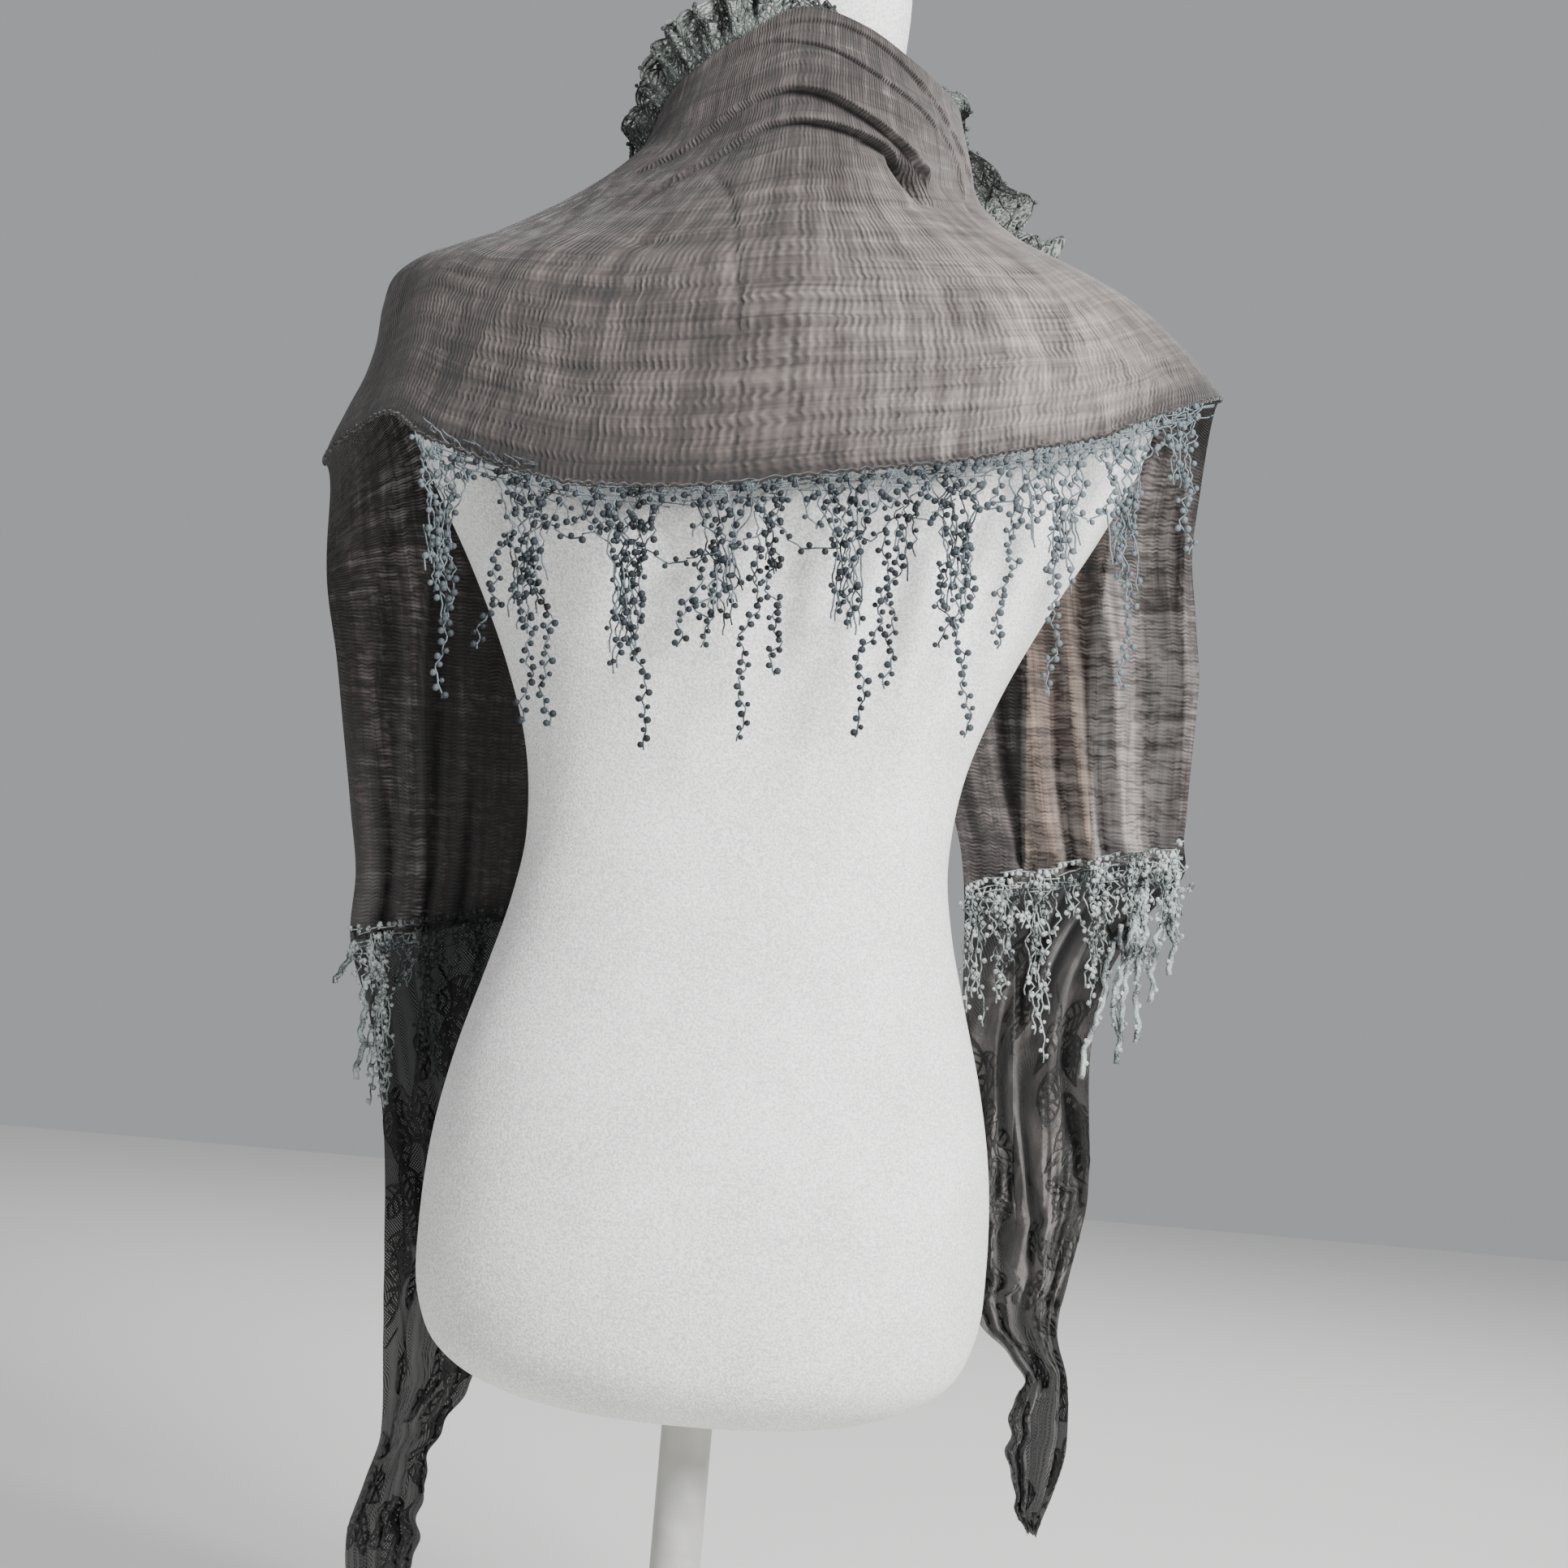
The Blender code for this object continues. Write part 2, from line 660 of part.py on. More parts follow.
def make_gauze(finish, parts):
    """The three stretches of the gauze panel, parted at the shoulder ridges."""
    across = np.linspace(0, 1, BACK_ROWS + 1)
    wall("shawl_back", *grid(back_point, back_turns(), across), CLOTH_WALL, finish, parts)
    for side, name in ((LEFT, "fall_left"), (RIGHT, "fall_right")):
        downs = np.linspace(RIDGE_DOWN, 1, FALL_ROWS + 1)
        columns = np.linspace(0, 1, GAUZE_COLUMNS + 1)
        points, normals = grid(lambda a, b, side=side: fall_point(side, a, b), downs, columns)
        wall(name, points, normals, CLOTH_WALL, finish, parts)


def make_lace_ends(finish, parts):
    """The two lace ends, gathered towards their tips."""
    for side, name in ((LEFT, "lace_end_left"), (RIGHT, "lace_end_right")):
        downs = np.linspace(0, 1, LACE_ROWS + 1)
        columns = np.linspace(0, 1, GAUZE_COLUMNS + 1)
        points, normals = grid(lambda a, b, side=side: lace_point(side, a, b), downs, columns)
        seam, seam_normals = grid(lambda a, b, side=side: fall_point(side, a, b), np.ones(1), columns)
        points[0] = seam[0] - (0.0, 0.0, SEAM_DROP)
        normals[0] = seam_normals[0]
        wall(name, points, normals, CLOTH_WALL, finish, parts)


def main():
    """Builds the shawl, its form and the stand."""
    for old in list(bpy.data.objects):
        bpy.data.objects.remove(old, do_unlink=True)
    parts = bpy.data.collections.new("lace_shawl")
    bpy.context.scene.collection.children.link(parts)

    gauze = material("crinkled cotton gauze", (0.146, 0.122, 0.116), 0.9)
    trim = material("guipure lace", (0.205, 0.235, 0.242), 0.75)
    mesh_lace = material("burnout lace", (0.060, 0.055, 0.055), 0.8)
    jersey = material("cotton jersey", (0.66, 0.66, 0.64), 0.85)
    steel = material("painted steel", (0.42, 0.42, 0.41), 0.4)

    make_form(jersey, parts)
    make_cylinder("stand_base", BASE_RADIUS, 0, BASE_HEIGHT, BASE_SEGMENTS, BASE_ROUNDING, steel, parts)
    pole_low = BASE_HEIGHT + SEAM_GAP
    pole_high = FORM_BOTTOM - SEAM_GAP
    make_cylinder("stand_pole", POLE_RADIUS, pole_low, pole_high, POLE_SEGMENTS, 0, steel, parts)
    make_gauze(gauze, parts)
    make_lace_ends(mesh_lace, parts)
    line, outward = hem_line()
    make_fringe("fringe_back", line, outward, back_lengths, trim, parts, BACK_FLARE)
    for side, name in ((LEFT, "fringe_left"), (RIGHT, "fringe_right")):
        line, outward = cross_line(side)
        make_fringe(name, line, outward, cross_lengths, trim, parts, CROSS_FLARE)
    make_neck_trim(trim, parts)


main()
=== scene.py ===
# %% [markdown]
# # A lace shawl on a dress form
# A long shawl of crinkled cotton gauze lies over the shoulders of a limbless dress form and is seen
# from behind. Its two ends hang in front and finish in burnout lace, gathered to a tip. A trim of
# vines and round berries runs along the lower edge, along the neck and across both ends.
# Every surface here is worked out with numpy as a function of two parameters, because cloth is
# exactly that: a flat piece with a length and a width, carried somewhere else in space.

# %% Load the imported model
import math

import bpy
import numpy as np
from mathutils import Matrix


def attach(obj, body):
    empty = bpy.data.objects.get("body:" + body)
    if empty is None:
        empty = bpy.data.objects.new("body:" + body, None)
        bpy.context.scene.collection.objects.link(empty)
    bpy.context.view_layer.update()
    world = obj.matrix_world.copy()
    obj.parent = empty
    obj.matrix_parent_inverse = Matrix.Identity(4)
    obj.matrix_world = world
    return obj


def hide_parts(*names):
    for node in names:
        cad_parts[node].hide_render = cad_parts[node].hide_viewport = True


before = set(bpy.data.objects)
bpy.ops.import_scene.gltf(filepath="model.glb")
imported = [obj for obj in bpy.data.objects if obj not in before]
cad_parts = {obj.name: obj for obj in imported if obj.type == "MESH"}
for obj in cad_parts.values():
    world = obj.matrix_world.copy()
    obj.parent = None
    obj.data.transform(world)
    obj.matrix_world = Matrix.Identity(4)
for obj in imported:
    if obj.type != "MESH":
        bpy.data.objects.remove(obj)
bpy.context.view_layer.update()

# %% [markdown]
# ## Reading smooth curves from short tables
# A maker gives a shape as a few measured stations, in millimetres. A cubic through those stations
# gives every height in between, so each table below stays short.

# %% Smooth curves and steps


def metres(*rows):
    """A table typed in millimetres, in metres."""
    return tuple(metres(*row) if isinstance(row, tuple) else round(row / 1000, 6) for row in rows)


def curve(at, rows, column):
    """Cubic through a table's column, by its first one. Slopes are the mean of the steps beside them."""
    table = np.array(sorted(rows))
    xs = table[:, 0]
    ys = table[:, column]
    steps = np.diff(ys) / np.diff(xs)
    slopes = np.concatenate(([steps[0]], (steps[1:] + steps[:-1]) / 2, [steps[-1]]))
    slopes[np.concatenate(([False], steps[1:] * steps[:-1] <= 0, [False]))] = 0
    at = np.clip(at, xs[0], xs[-1])
    k = np.clip(np.searchsorted(xs, at) - 1, 0, len(xs) - 2)
    span = xs[k + 1] - xs[k]
    f = (at - xs[k]) / span
    start = (2 * f**3 - 3 * f**2 + 1) * ys[k] + (f**3 - 2 * f**2 + f) * span * slopes[k]
    end = (3 * f**2 - 2 * f**3) * ys[k + 1] + (f**3 - f**2) * span * slopes[k + 1]
    return start + end


def smooth_step(value, low, high):
    """0 below low, 1 above high, and 3f^2 - 2f^3 of the share f between them."""
    f = np.clip((value - low) / (high - low), 0, 1)
    return f * f * (3 - 2 * f)


def hump(distance, breadth):
    """1 at distance 0, falling off as exp(-(distance / breadth)^2)."""
    return np.exp(-((distance / breadth) ** 2))


def unit(vectors):
    """Vectors over their own length."""
    return vectors / np.maximum(np.linalg.norm(vectors, axis=-1, keepdims=True), 1e-12)


def run_along(path):
    """Length run along a path up to each of its points."""
    return np.concatenate(([0.0], np.cumsum(np.linalg.norm(np.diff(path, axis=0), axis=1))))


def point_at(at, run, path):
    """Point of a path where its run is at."""
    return np.stack([np.interp(at, run, path[:, k]) for k in range(3)], -1)


def angles_round(count):
    """Even angles once round."""
    return np.arange(count) * 2 * math.pi / count


# %% [markdown]
# ## Surfaces as meshes
# A surface is a grid of points. One function turns such a grid into a mesh, keeps the flat cloth's
# own coordinates as a UV map in metres, and can close it round or cap its ends.

# %% Grid to mesh


def grid_faces(rows, columns, wrap=False):
    """Quads (i, j), (i, j+1), (i+1, j+1), (i+1, j) of a grid, closed round in j if wrap is set."""
    i = np.arange(rows - 1)[:, None]
    j = np.arange(columns if wrap else columns - 1)[None, :]
    low = i * columns
    high = low + columns
    following = (j + 1) % columns
    return np.stack(np.broadcast_arrays(low + j, low + following, high + following, high + j), -1).reshape(-1, 4)


def fan_caps(around, last, centre):
    """Triangles from the first ring to the point centre, and from the ring at last to the point after it."""
    k = np.arange(around)
    following = np.roll(k, -1)
    low = np.full(around, centre)
    return np.concatenate((np.stack((low, following, k), 1), np.stack((low + 1, last + k, last + following), 1)))


def mesh_object(name, points, quads, triangles=(), uv=None, smooth=True):
    """Makes an object of points, quads and triangles. uv gives a flat place in metres to each point."""
    points = points.reshape(-1, 3)
    quads = np.asarray(quads).reshape(-1, 4)
    triangles = np.asarray(triangles, dtype=int).reshape(-1, 3)
    corners = np.concatenate((quads.ravel(), triangles.ravel())).astype(np.int32)
    sizes = np.concatenate((np.full(len(quads), 4), np.full(len(triangles), 3)))
    starts = np.cumsum(sizes) - sizes
    mesh = bpy.data.meshes.new(name)
    mesh.vertices.add(len(points))
    mesh.vertices.foreach_set("co", points.astype(np.float32).ravel())
    mesh.loops.add(len(corners))
    mesh.loops.foreach_set("vertex_index", corners)
    mesh.polygons.add(len(sizes))
    mesh.polygons.foreach_set("loop_start", starts.astype(np.int32))
    mesh.update(calc_edges=True)
    if uv is not None:
        layer = mesh.uv_layers.new(name="cloth")
        layer.data.foreach_set("uv", uv.reshape(-1, 2)[corners].astype(np.float32).ravel())
    if smooth:
        mesh.shade_smooth()
    made = bpy.data.objects.new(name, mesh)
    bpy.context.scene.collection.objects.link(made)
    return made


def point_values(made, name, values):
    """Stores one number for each point of a mesh, for its material to read."""
    stored = made.data.attributes.new(name, "FLOAT", "POINT").data
    stored.foreach_set("value", values.astype(np.float32).ravel())


def point_x(made):
    """x of every point of a mesh."""
    places = np.empty(3 * len(made.data.vertices), dtype=np.float32)
    made.data.vertices.foreach_get("co", places)
    return places[0::3]


def surface_area(points):
    """Sum of the quads' areas: half the length of each cross product of diagonals."""
    first = points[1:, 1:] - points[:-1, :-1]
    second = points[1:, :-1] - points[:-1, 1:]
    return float(np.linalg.norm(np.cross(first, second), axis=-1).sum() / 2)


# %% [markdown]
# ## Colours and nodes
# Colours are given as a painter or a web page would, as sRGB hex. Cycles works in linear light, so
# one function converts them. One more function adds a node, its settings and its links.

# %% Node helper


def linear(code):
    """sRGB hex to linear RGB: c / 12.92 for dark values, ((c + 0.055) / 1.055)^2.4 for the rest."""
    parts = np.array([int(code[k : k + 2], 16) for k in (1, 3, 5)]) / 255
    low = parts / 12.92
    high = ((parts + 0.055) / 1.055) ** 2.4
    return (*np.where(parts <= 0.04045, low, high).tolist(), 1.0)


def add(tree, kind, links=None, **settings):
    """Adds a node. links maps its input sockets to values or to other nodes' outputs."""
    made = tree.nodes.new(kind)
    for key, value in settings.items():
        setattr(made, key, value)
    for key, value in (links or {}).items():
        if isinstance(value, bpy.types.NodeSocket):
            tree.links.new(value, made.inputs[key])
        else:
            made.inputs[key].default_value = value
    return made


def new_material(name, **sockets):
    """Principled material. sockets give its constant values, with _ for a space."""
    made = bpy.data.materials.new(name)
    made.use_nodes = True
    shader = made.node_tree.nodes["Principled BSDF"]
    for key, value in sockets.items():
        shader.inputs[key.replace("_", " ")].default_value = value
    return made, made.node_tree, shader


def calc(tree, operation, *values):
    """Output of a math node over two or three values."""
    return add(tree, "ShaderNodeMath", dict(enumerate(values)), operation=operation).outputs[0]


def attribute(tree, name):
    """A mesh's own number, read in the shader."""
    return add(tree, "ShaderNodeAttribute", attribute_name=name).outputs["Fac"]


def noise(tree, vector, scale, detail, distort=0.0):
    """Noise with blotches of about 1 / scale metres."""
    inputs = {"Vector": vector, "Scale": scale, "Detail": detail, "Distortion": distort}
    return add(tree, "ShaderNodeTexNoise", inputs).outputs["Fac"]


def solid_noise(tree, scale, detail):
    """Noise in the object's own space."""
    return noise(tree, add(tree, "ShaderNodeTexCoord").outputs["Object"], scale, detail)


def stretched(tree, vector, along_mm, over_mm, detail=2.0, distort=0.0):
    """Noise whose blotches are along_mm by over_mm on the flat cloth."""
    scaled = add(tree, "ShaderNodeMapping", {"Vector": vector, "Scale": (1000 / along_mm, 1000 / over_mm, 1.0)})
    return noise(tree, scaled.outputs["Vector"], 1.0, detail, distort)


def remap(tree, value, low, high, at_low, at_high):
    """at_low below low, at_high above high, and a straight line between them."""
    inputs = {"Value": value, "From Min": low, "From Max": high, "To Min": at_low, "To Max": at_high}
    return add(tree, "ShaderNodeMapRange", inputs).outputs["Result"]


def mixed(tree, share, first, second, blend="MIX"):
    """Colour mix by a share from 0, the first, to 1."""
    inputs = {"Factor": share, "A": first, "B": second}
    return add(tree, "ShaderNodeMix", inputs, data_type="RGBA", blend_type=blend).outputs["Result"]


def ramp(tree, value, stops):
    """Colour ramp over a value. stops are pairs of a place and a hex colour."""
    made = add(tree, "ShaderNodeValToRGB", {"Fac": value})
    while len(made.color_ramp.elements) < len(stops):
        made.color_ramp.elements.new(0.5)
    for element, (place, code) in zip(made.color_ramp.elements, stops):
        element.position = place
        element.color = linear(code)
    return made.outputs["Color"]


def finish_surface(tree, shader, colour, height=None, strength=0.0, depth=0.0):
    """Gives a shader its colour, and a relief up to depth metres."""
    tree.links.new(colour, shader.inputs["Base Color"])
    if height is not None:
        bump = add(tree, "ShaderNodeBump", {"Height": height, "Strength": strength, "Distance": depth})
        tree.links.new(bump.outputs["Normal"], shader.inputs["Normal"])


# %% [markdown]
# ## The body of the form
# The form is a padded shell. Each height is a superellipse, |x/a|^n + |y/b|^n = 1, whose half width
# a and depth b come from the table. n = 2.4 is a little squarer than an ellipse, as a torso is.

# %% Form sizes
FORM_POWER = 2.4
CLEARANCE = 0.004
LEAST_SHARE = 0.2
FORM_RINGS = metres(
    # z, half_width, back, front
    (245, 60, 40, 42), (250, 92, 62, 64), (260, 125, 86, 86), (275, 149, 102, 99), (300, 163, 112, 106),
    (345, 167.2, 116.5, 108), (400, 164, 113, 104), (450, 154.5, 102, 98), (500, 140.5, 89, 92),
    (540, 130, 81, 88), (580, 124.5, 77, 86), (630, 129.5, 80, 90), (680, 146, 90.5, 106),
    (730, 169.5, 99, 124), (780, 197, 106, 128), (825, 217.5, 108, 119), (855, 223.5, 106.5, 109),
    (878, 220, 103.5, 99), (892, 210, 100.5, 93), (904, 191, 97, 87), (918, 162, 92, 81),
    (934, 130, 85, 75), (952, 102, 75, 68), (972, 79.5, 62, 64), (995, 63.5, 51, 64),
    (1030, 58, 46, 66), (1100, 57.5, 45, 67), (1114, 52, 40, 62), (1120, 38, 27, 49),
)


def form_axes(behind, z):
    """Half width and depth of the form at each height, behind or in front."""
    return curve(z, FORM_RINGS, 1), np.where(behind, curve(z, FORM_RINGS, 2), curve(z, FORM_RINGS, 3))


def form_share(x, y, z):
    """Superellipse share of a point, which is 1 on the form, and the smaller half axis at its height."""
    half, depth = form_axes(y < 0, z)
    share = (np.abs(x / half) ** FORM_POWER + np.abs(y / depth) ** FORM_POWER) ** (1 / FORM_POWER)
    return share, np.minimum(half, depth)


def clear_of_form(x, y, z):
    """Scales x and y out until the share is 1 + CLEARANCE / the smaller half axis."""
    share, axis = form_share(x, y, z)
    push = np.maximum((1 + CLEARANCE / axis) / np.maximum(share, LEAST_SHARE), 1)
    push = np.where(z < FORM_RINGS[0][0], 1, push)
    return x * push, y * push


# %% Jersey material
# Cotton jersey: a fine knit that scatters light evenly, so it has no highlight, only a grain of loops
# about 1 mm across. Its brightest specks are painted glints, where a loop stands up and catches the light.
jersey, tree, shader = new_material("cotton jersey", Roughness=0.9, Sheen_Weight=0.15, Sheen_Roughness=0.5)
loops = solid_noise(tree, 760.0, 2.0)
grain = calc(tree, "MULTIPLY_ADD", solid_noise(tree, 16.0, 5.0), 0.25, loops)
# Painted glints: the top of the ramp runs to pure white.
whites_and_glints = ramp(tree, grain, ((0.50, "#c9c9c8"), (0.60, "#e0e0de"), (0.68, "#ececea"), (0.80, "#ffffff")))
finish_surface(tree, shader, whites_and_glints, loops, 0.5, 0.0008)
print("made", jersey.name)

# %% Dress form
FORM_LEVELS = 190
FORM_AROUND = 144


def form_surface(levels, around):
    """Rings of x = a * c^(2/n), y = b * s^(2/n), with c and s the cosine and sine of the angle round."""
    heights = np.array([row[0] for row in FORM_RINGS])
    even = np.linspace(0, 1, levels)
    z = np.interp(even, np.linspace(0, 1, len(heights)), heights)
    z, angle = np.meshgrid(z, angles_round(around), indexing="ij")
    half, depth = form_axes(np.sin(angle) < 0, z)
    power = 2 / FORM_POWER
    x = half * np.sign(np.cos(angle)) * np.abs(np.cos(angle)) ** power
    y = depth * np.sign(np.sin(angle)) * np.abs(np.sin(angle)) ** power
    return np.stack((x, y, z), -1)


form_points = form_surface(FORM_LEVELS, FORM_AROUND)
form_corners = np.vstack((form_points.reshape(-1, 3), (0, 0, FORM_RINGS[0][0]), (0, 0, FORM_RINGS[-1][0])))
form_caps = fan_caps(FORM_AROUND, (FORM_LEVELS - 1) * FORM_AROUND, FORM_LEVELS * FORM_AROUND)
form = mesh_object("form_body", form_corners, grid_faces(FORM_LEVELS, FORM_AROUND, wrap=True), form_caps)
form.data.materials.append(jersey)
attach(form, "root")
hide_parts("dress_form")
print("form", len(form.data.polygons), "faces")

# %% [markdown]
# ## The stand
# The photograph's cut-out shows no stand, but the ends of the shawl hang below the form, so it must
# stand on something. A turned shape is a profile of radius and height, swept once round.

# %% Stand
enamel, tree, shader = new_material(
    "satin enamel", Roughness=0.42, IOR=1.5, Coat_Weight=0.15, Coat_Roughness=0.25
)
dust = solid_noise(tree, 60.0, 5.0)
finish_surface(tree, shader, ramp(tree, dust, ((0.3, "#a3a29e"), (0.7, "#b5b4b0"))), dust, 0.12, 0.0004)

BASE_RADIUS = 0.140
BASE_HEIGHT = 0.012
BASE_ROUND = 0.002
POLE_RADIUS = 0.015
POLE_TOP = 0.2447
POLE_GAP = 0.0003
TURNING_STEPS = 96
SHARP_EDGE = math.radians(40)


def turned(name, profile, node):
    """Sweeps a profile of (radius, z) once round: x = r cos, y = r sin. Both ends lie on the axis."""
    profile = np.array(profile)
    radius, z = profile[1:-1, :, None].transpose(1, 0, 2)
    angle = angles_round(TURNING_STEPS)
    ring = np.stack(np.broadcast_arrays(radius * np.cos(angle), radius * np.sin(angle), z), -1).reshape(-1, 3)
    caps = fan_caps(TURNING_STEPS, (len(z) - 1) * TURNING_STEPS, len(ring))
    points = np.vstack((ring, (0, 0, profile[0, 1]), (0, 0, profile[-1, 1])))
    made = mesh_object(name, points, grid_faces(len(z), TURNING_STEPS, wrap=True), caps)
    made.data.set_sharp_from_angle(angle=SHARP_EDGE)
    made.data.materials.append(enamel)
    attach(made, "root")
    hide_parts(node)


straight = BASE_RADIUS - BASE_ROUND
rounds = BASE_ROUND * np.array([(math.sin(a), math.cos(a)) for a in np.linspace(0, math.pi / 2, 5)])
edge = [(straight + s, BASE_ROUND - c) for s, c in rounds]
edge += [(straight + c, BASE_HEIGHT - BASE_ROUND + s) for s, c in rounds]
turned("base_disc", [(0, 0), *edge, (0, BASE_HEIGHT)], "stand_base")
pole_low = BASE_HEIGHT + POLE_GAP
turned("pole", [(0, pole_low), (POLE_RADIUS, pole_low), (POLE_RADIUS, POLE_TOP), (0, POLE_TOP)], "stand_pole")

# %% [markdown]
# ## Where the cloth lies
# The shawl is one long strip. Along it runs a number from the seam on one end, up over a shoulder,
# across the back and down the other side. Across it runs a number from 0 at the neck edge to 1 at
# the hem. The tables give where those edges lie, as measured on the photograph in real sizes.

# %% Measured stations of the cloth
LEFT = -1
RIGHT = 1
CLOTH_POWER = 2.4
RIDGE_LEFT = metres(
    # z, half_width
    (770, 262.8), (790, 260.6), (815, 250.8), (835, 242), (855, 237), (879, 234.8), (896.5, 229.1),
    (907.3, 215.6), (922.5, 179), (948, 134), (970, 103), (982, 91), (1005, 85), (1060, 80),
)
RIDGE_RIGHT = metres(
    # z, half_width
    (780, 255), (820, 260), (861, 262), (876, 253.5), (896, 232.6), (917.7, 204), (928.5, 181.6),
    (937.7, 158), (946.1, 137), (963.8, 112), (976.6, 104.8), (989.4, 101.5), (1027.9, 91.2),
    (1060, 84),
)
BACK_DEPTH = metres(
    # z, depth
    (770, 122.5), (820, 124), (860, 122), (900, 115), (930, 106), (960, 95), (990, 88), (1060, 80),
)
NECK_EDGE = (
    # share of half width, z
    (-1.0, 0.985), (-0.9, 1.009), (-0.75, 1.021), (-0.42, 1.04), (0.0, 1.059), (0.42, 1.05),
    (0.68, 1.037), (0.85, 1.028), (1.0, 1.02),
)
HEM_EDGE = (
    # share of half width, z
    (-1.0, 0.784), (-0.93, 0.801), (-0.86, 0.81), (-0.76, 0.798), (-0.64, 0.788), (-0.52, 0.78),
    (-0.41, 0.776), (-0.17, 0.779), (0.11, 0.792), (0.4, 0.806), (0.53, 0.815), (0.71, 0.829),
    (0.88, 0.852), (1.0, 0.867),
)
TAIL_LEFT = metres(
    # z, inner, outer
    (800, 85, 260), (764, 85, 268), (725, 85, 264.1), (677, 86, 254.9), (629, 88, 247.3),
    (580, 90, 238.5), (545, 93, 232.5), (500, 96, 232), (458, 102, 217), (400, 110, 204.5),
    (350, 118, 198.5), (300, 128, 194.5), (256, 139, 191), (232, 137.5, 188.5), (205, 153, 186.6),
    (175, 158, 193.5), (139, 159.5, 201.8), (110, 164, 198.5), (88, 175, 188),
)
TAIL_RIGHT = metres(
    # z, inner, outer
    (867, 86, 262), (820, 88, 259.5), (790, 90, 258.5), (740, 96, 265.5), (700, 105, 270.5),
    (650, 118, 269.2), (610, 131, 269), (590, 137, 272), (560, 142, 252), (520, 145, 231),
    (470, 148, 225.5), (380, 157, 232.7), (330, 165, 225), (300, 172, 220.5), (272, 201, 228),
    (236, 195.5, 230), (205, 200, 224), (185, 207, 217.5), (178, 209, 216),
)
TAILS = {
    # ridge, edges, height of the seam inside and outside, height of the tip, turn of the pleats
    side: dict(zip(("ridge", "table", "seam_in", "seam_out", "tip", "turn"), values))
    for side, values in (
        (LEFT, (RIDGE_LEFT, TAIL_LEFT, 0.530, 0.500, 0.088, 0.7)),
        (RIGHT, (RIDGE_RIGHT, TAIL_RIGHT, 0.562, 0.598, 0.178, 2.1)),
    )
}
HANG_DEPTH = 0.118
HANG_SLOPE = 0.35
HANG_FROM = 0.100
HANG_DRIFT = metres(
    # z, drift, curl
    (80, -30, 4), (140, -28, 14), (220, -22, 16), (300, -10, 14), (420, 0, 6), (520, 0, 0),
    (1100, 0, 0),
)
PLEATS = 5
PLEAT_DEPTH = 0.0110
SMALL_PLEAT = 0.0014
SHOULDER_REACH = 0.14
FALL_ROUND = 0.12
RIDGE_LEVEL = 0.905
COLLAR_SWELLS = (
    # height, level where the arch stands
    (0.0030, 1.024),
    (0.0020, 0.970),
)
SWELL_BREADTH = 0.0120
ARCH = 6.0
ARCH_MIDDLE = 0.006
SOFT_SWELL = 0.0016

# %% [markdown]
# ## Creases and folds
# A crease is a soft trough or ridge along a line. Each row gives the line's points as seen from
# behind, how far the cloth goes in (+) or out (-), and how broad it is. A fold is a
# line where one layer ends over another: it stands out on the line's left and drops at the line.
# The two long ones round the neck are where the slumped collar folds over itself.

# %% Creases
BACK_CREASES = metres(
    # points (x, z), depth, breadth
    (((56, 977.2), (64.6, 966.1), (71.3, 957.3), (77.5, 953.6)), 15, 3.2),
    (((61.9, 948), (70.2, 950), (80.2, 952.2), (91.9, 953.5)), 5.5, 2.4),
    (((99, 969.1), (103.4, 957.6), (113, 944.9)), 7, 3),
    (((0.9, 967.3), (14.7, 964.2), (28, 967.9), (41.1, 972.5)), 1.8, 2.4),
    (((26.9, 979.7), (38.4, 984.1), (50.6, 980.9)), 2, 2.2),
    (((-43.7, 954.9), (-36.1, 945.4), (-32.1, 928.8), (-29.2, 905.3), (-24.9, 875.2),
     (-21, 790)), 4.2, 3.4),
    (((-94.8, 918.2), (-80.7, 912.7), (-69.5, 920.4)), 2.6, 3),
    (((-70, 950), (-85, 900), (-94, 840)), 2.5, 10),
    (((-104, 940), (-140, 920), (-180, 890), (-205, 850)), 4, 8),
    (((-150, 905), (-175, 870), (-190, 825)), 3, 8),
    (((-215, 895), (-226, 850), (-238, 805)), 5, 6),
    (((22, 950), (40, 900), (52, 850)), 2, 10),
    (((88, 935), (110, 910), (140, 885), (185, 864)), 3.5, 8),
    (((112, 942), (150, 926), (200, 898)), 4, 6),
    (((190, 890), (215, 874), (240, 866)), 4, 5.5),
    (((-20, 930), (30, 922), (75, 926)), 1.2, 3),
    (((-80, 866), (0, 872), (70, 878)), 1.2, 3),
    (((4, 925), (12, 870), (24, 815)), -3, 10),
)
COLLAR_UPPER = (
    (-99.4, 951.7), (-78.3, 962), (-60.6, 972.9), (-44.8, 986.1), (-30.7, 999.2), (-17.7, 1006),
    (-1.2, 1010.8), (14.2, 1009.1), (30.1, 1002), (46.2, 992.4), (58.9, 982.5), (68.3, 972.3),
    (76.2, 958.6),
)
COLLAR_LOWER = (
    (-97.2, 927.3), (-87.8, 935.8), (-76.8, 945.2), (-62.4, 955), (-48, 964.7), (-33.7, 976.1),
    (-21, 985.7), (-7.9, 990.6), (7.1, 992.9), (22.5, 991.5), (36.4, 988.2), (46.9, 984), (56, 977.2),
    (64.6, 966.1), (71.3, 956.5),
)
BACK_FOLDS = metres(
    # points (x, z), height, reach
    (COLLAR_UPPER, 9, 14),
    (COLLAR_LOWER, 9, 11),
    (((-54.7, 1021.7), (-35.2, 1031.9), (-12.1, 1038.1), (11.8, 1036), (33, 1026.8), (52.6, 1015.8),
     (66.9, 1006.9), (78, 996)), 3.6, 8),
    (((-34, 1037.1), (-12.9, 1048.2), (10.5, 1051.1), (27.8, 1047.6), (45.5, 1038.9), (60, 1028.4),
     (71.1, 1017.5)), 3, 7),
    (((56.3, 1031.4), (72.8, 1017.6), (84.2, 1003.4), (93.9, 989), (100.3, 974.3)), 3.4, 7),
    (((74, 1004), (85, 990), (93, 974), (98.5, 960)), 3, 6),
)
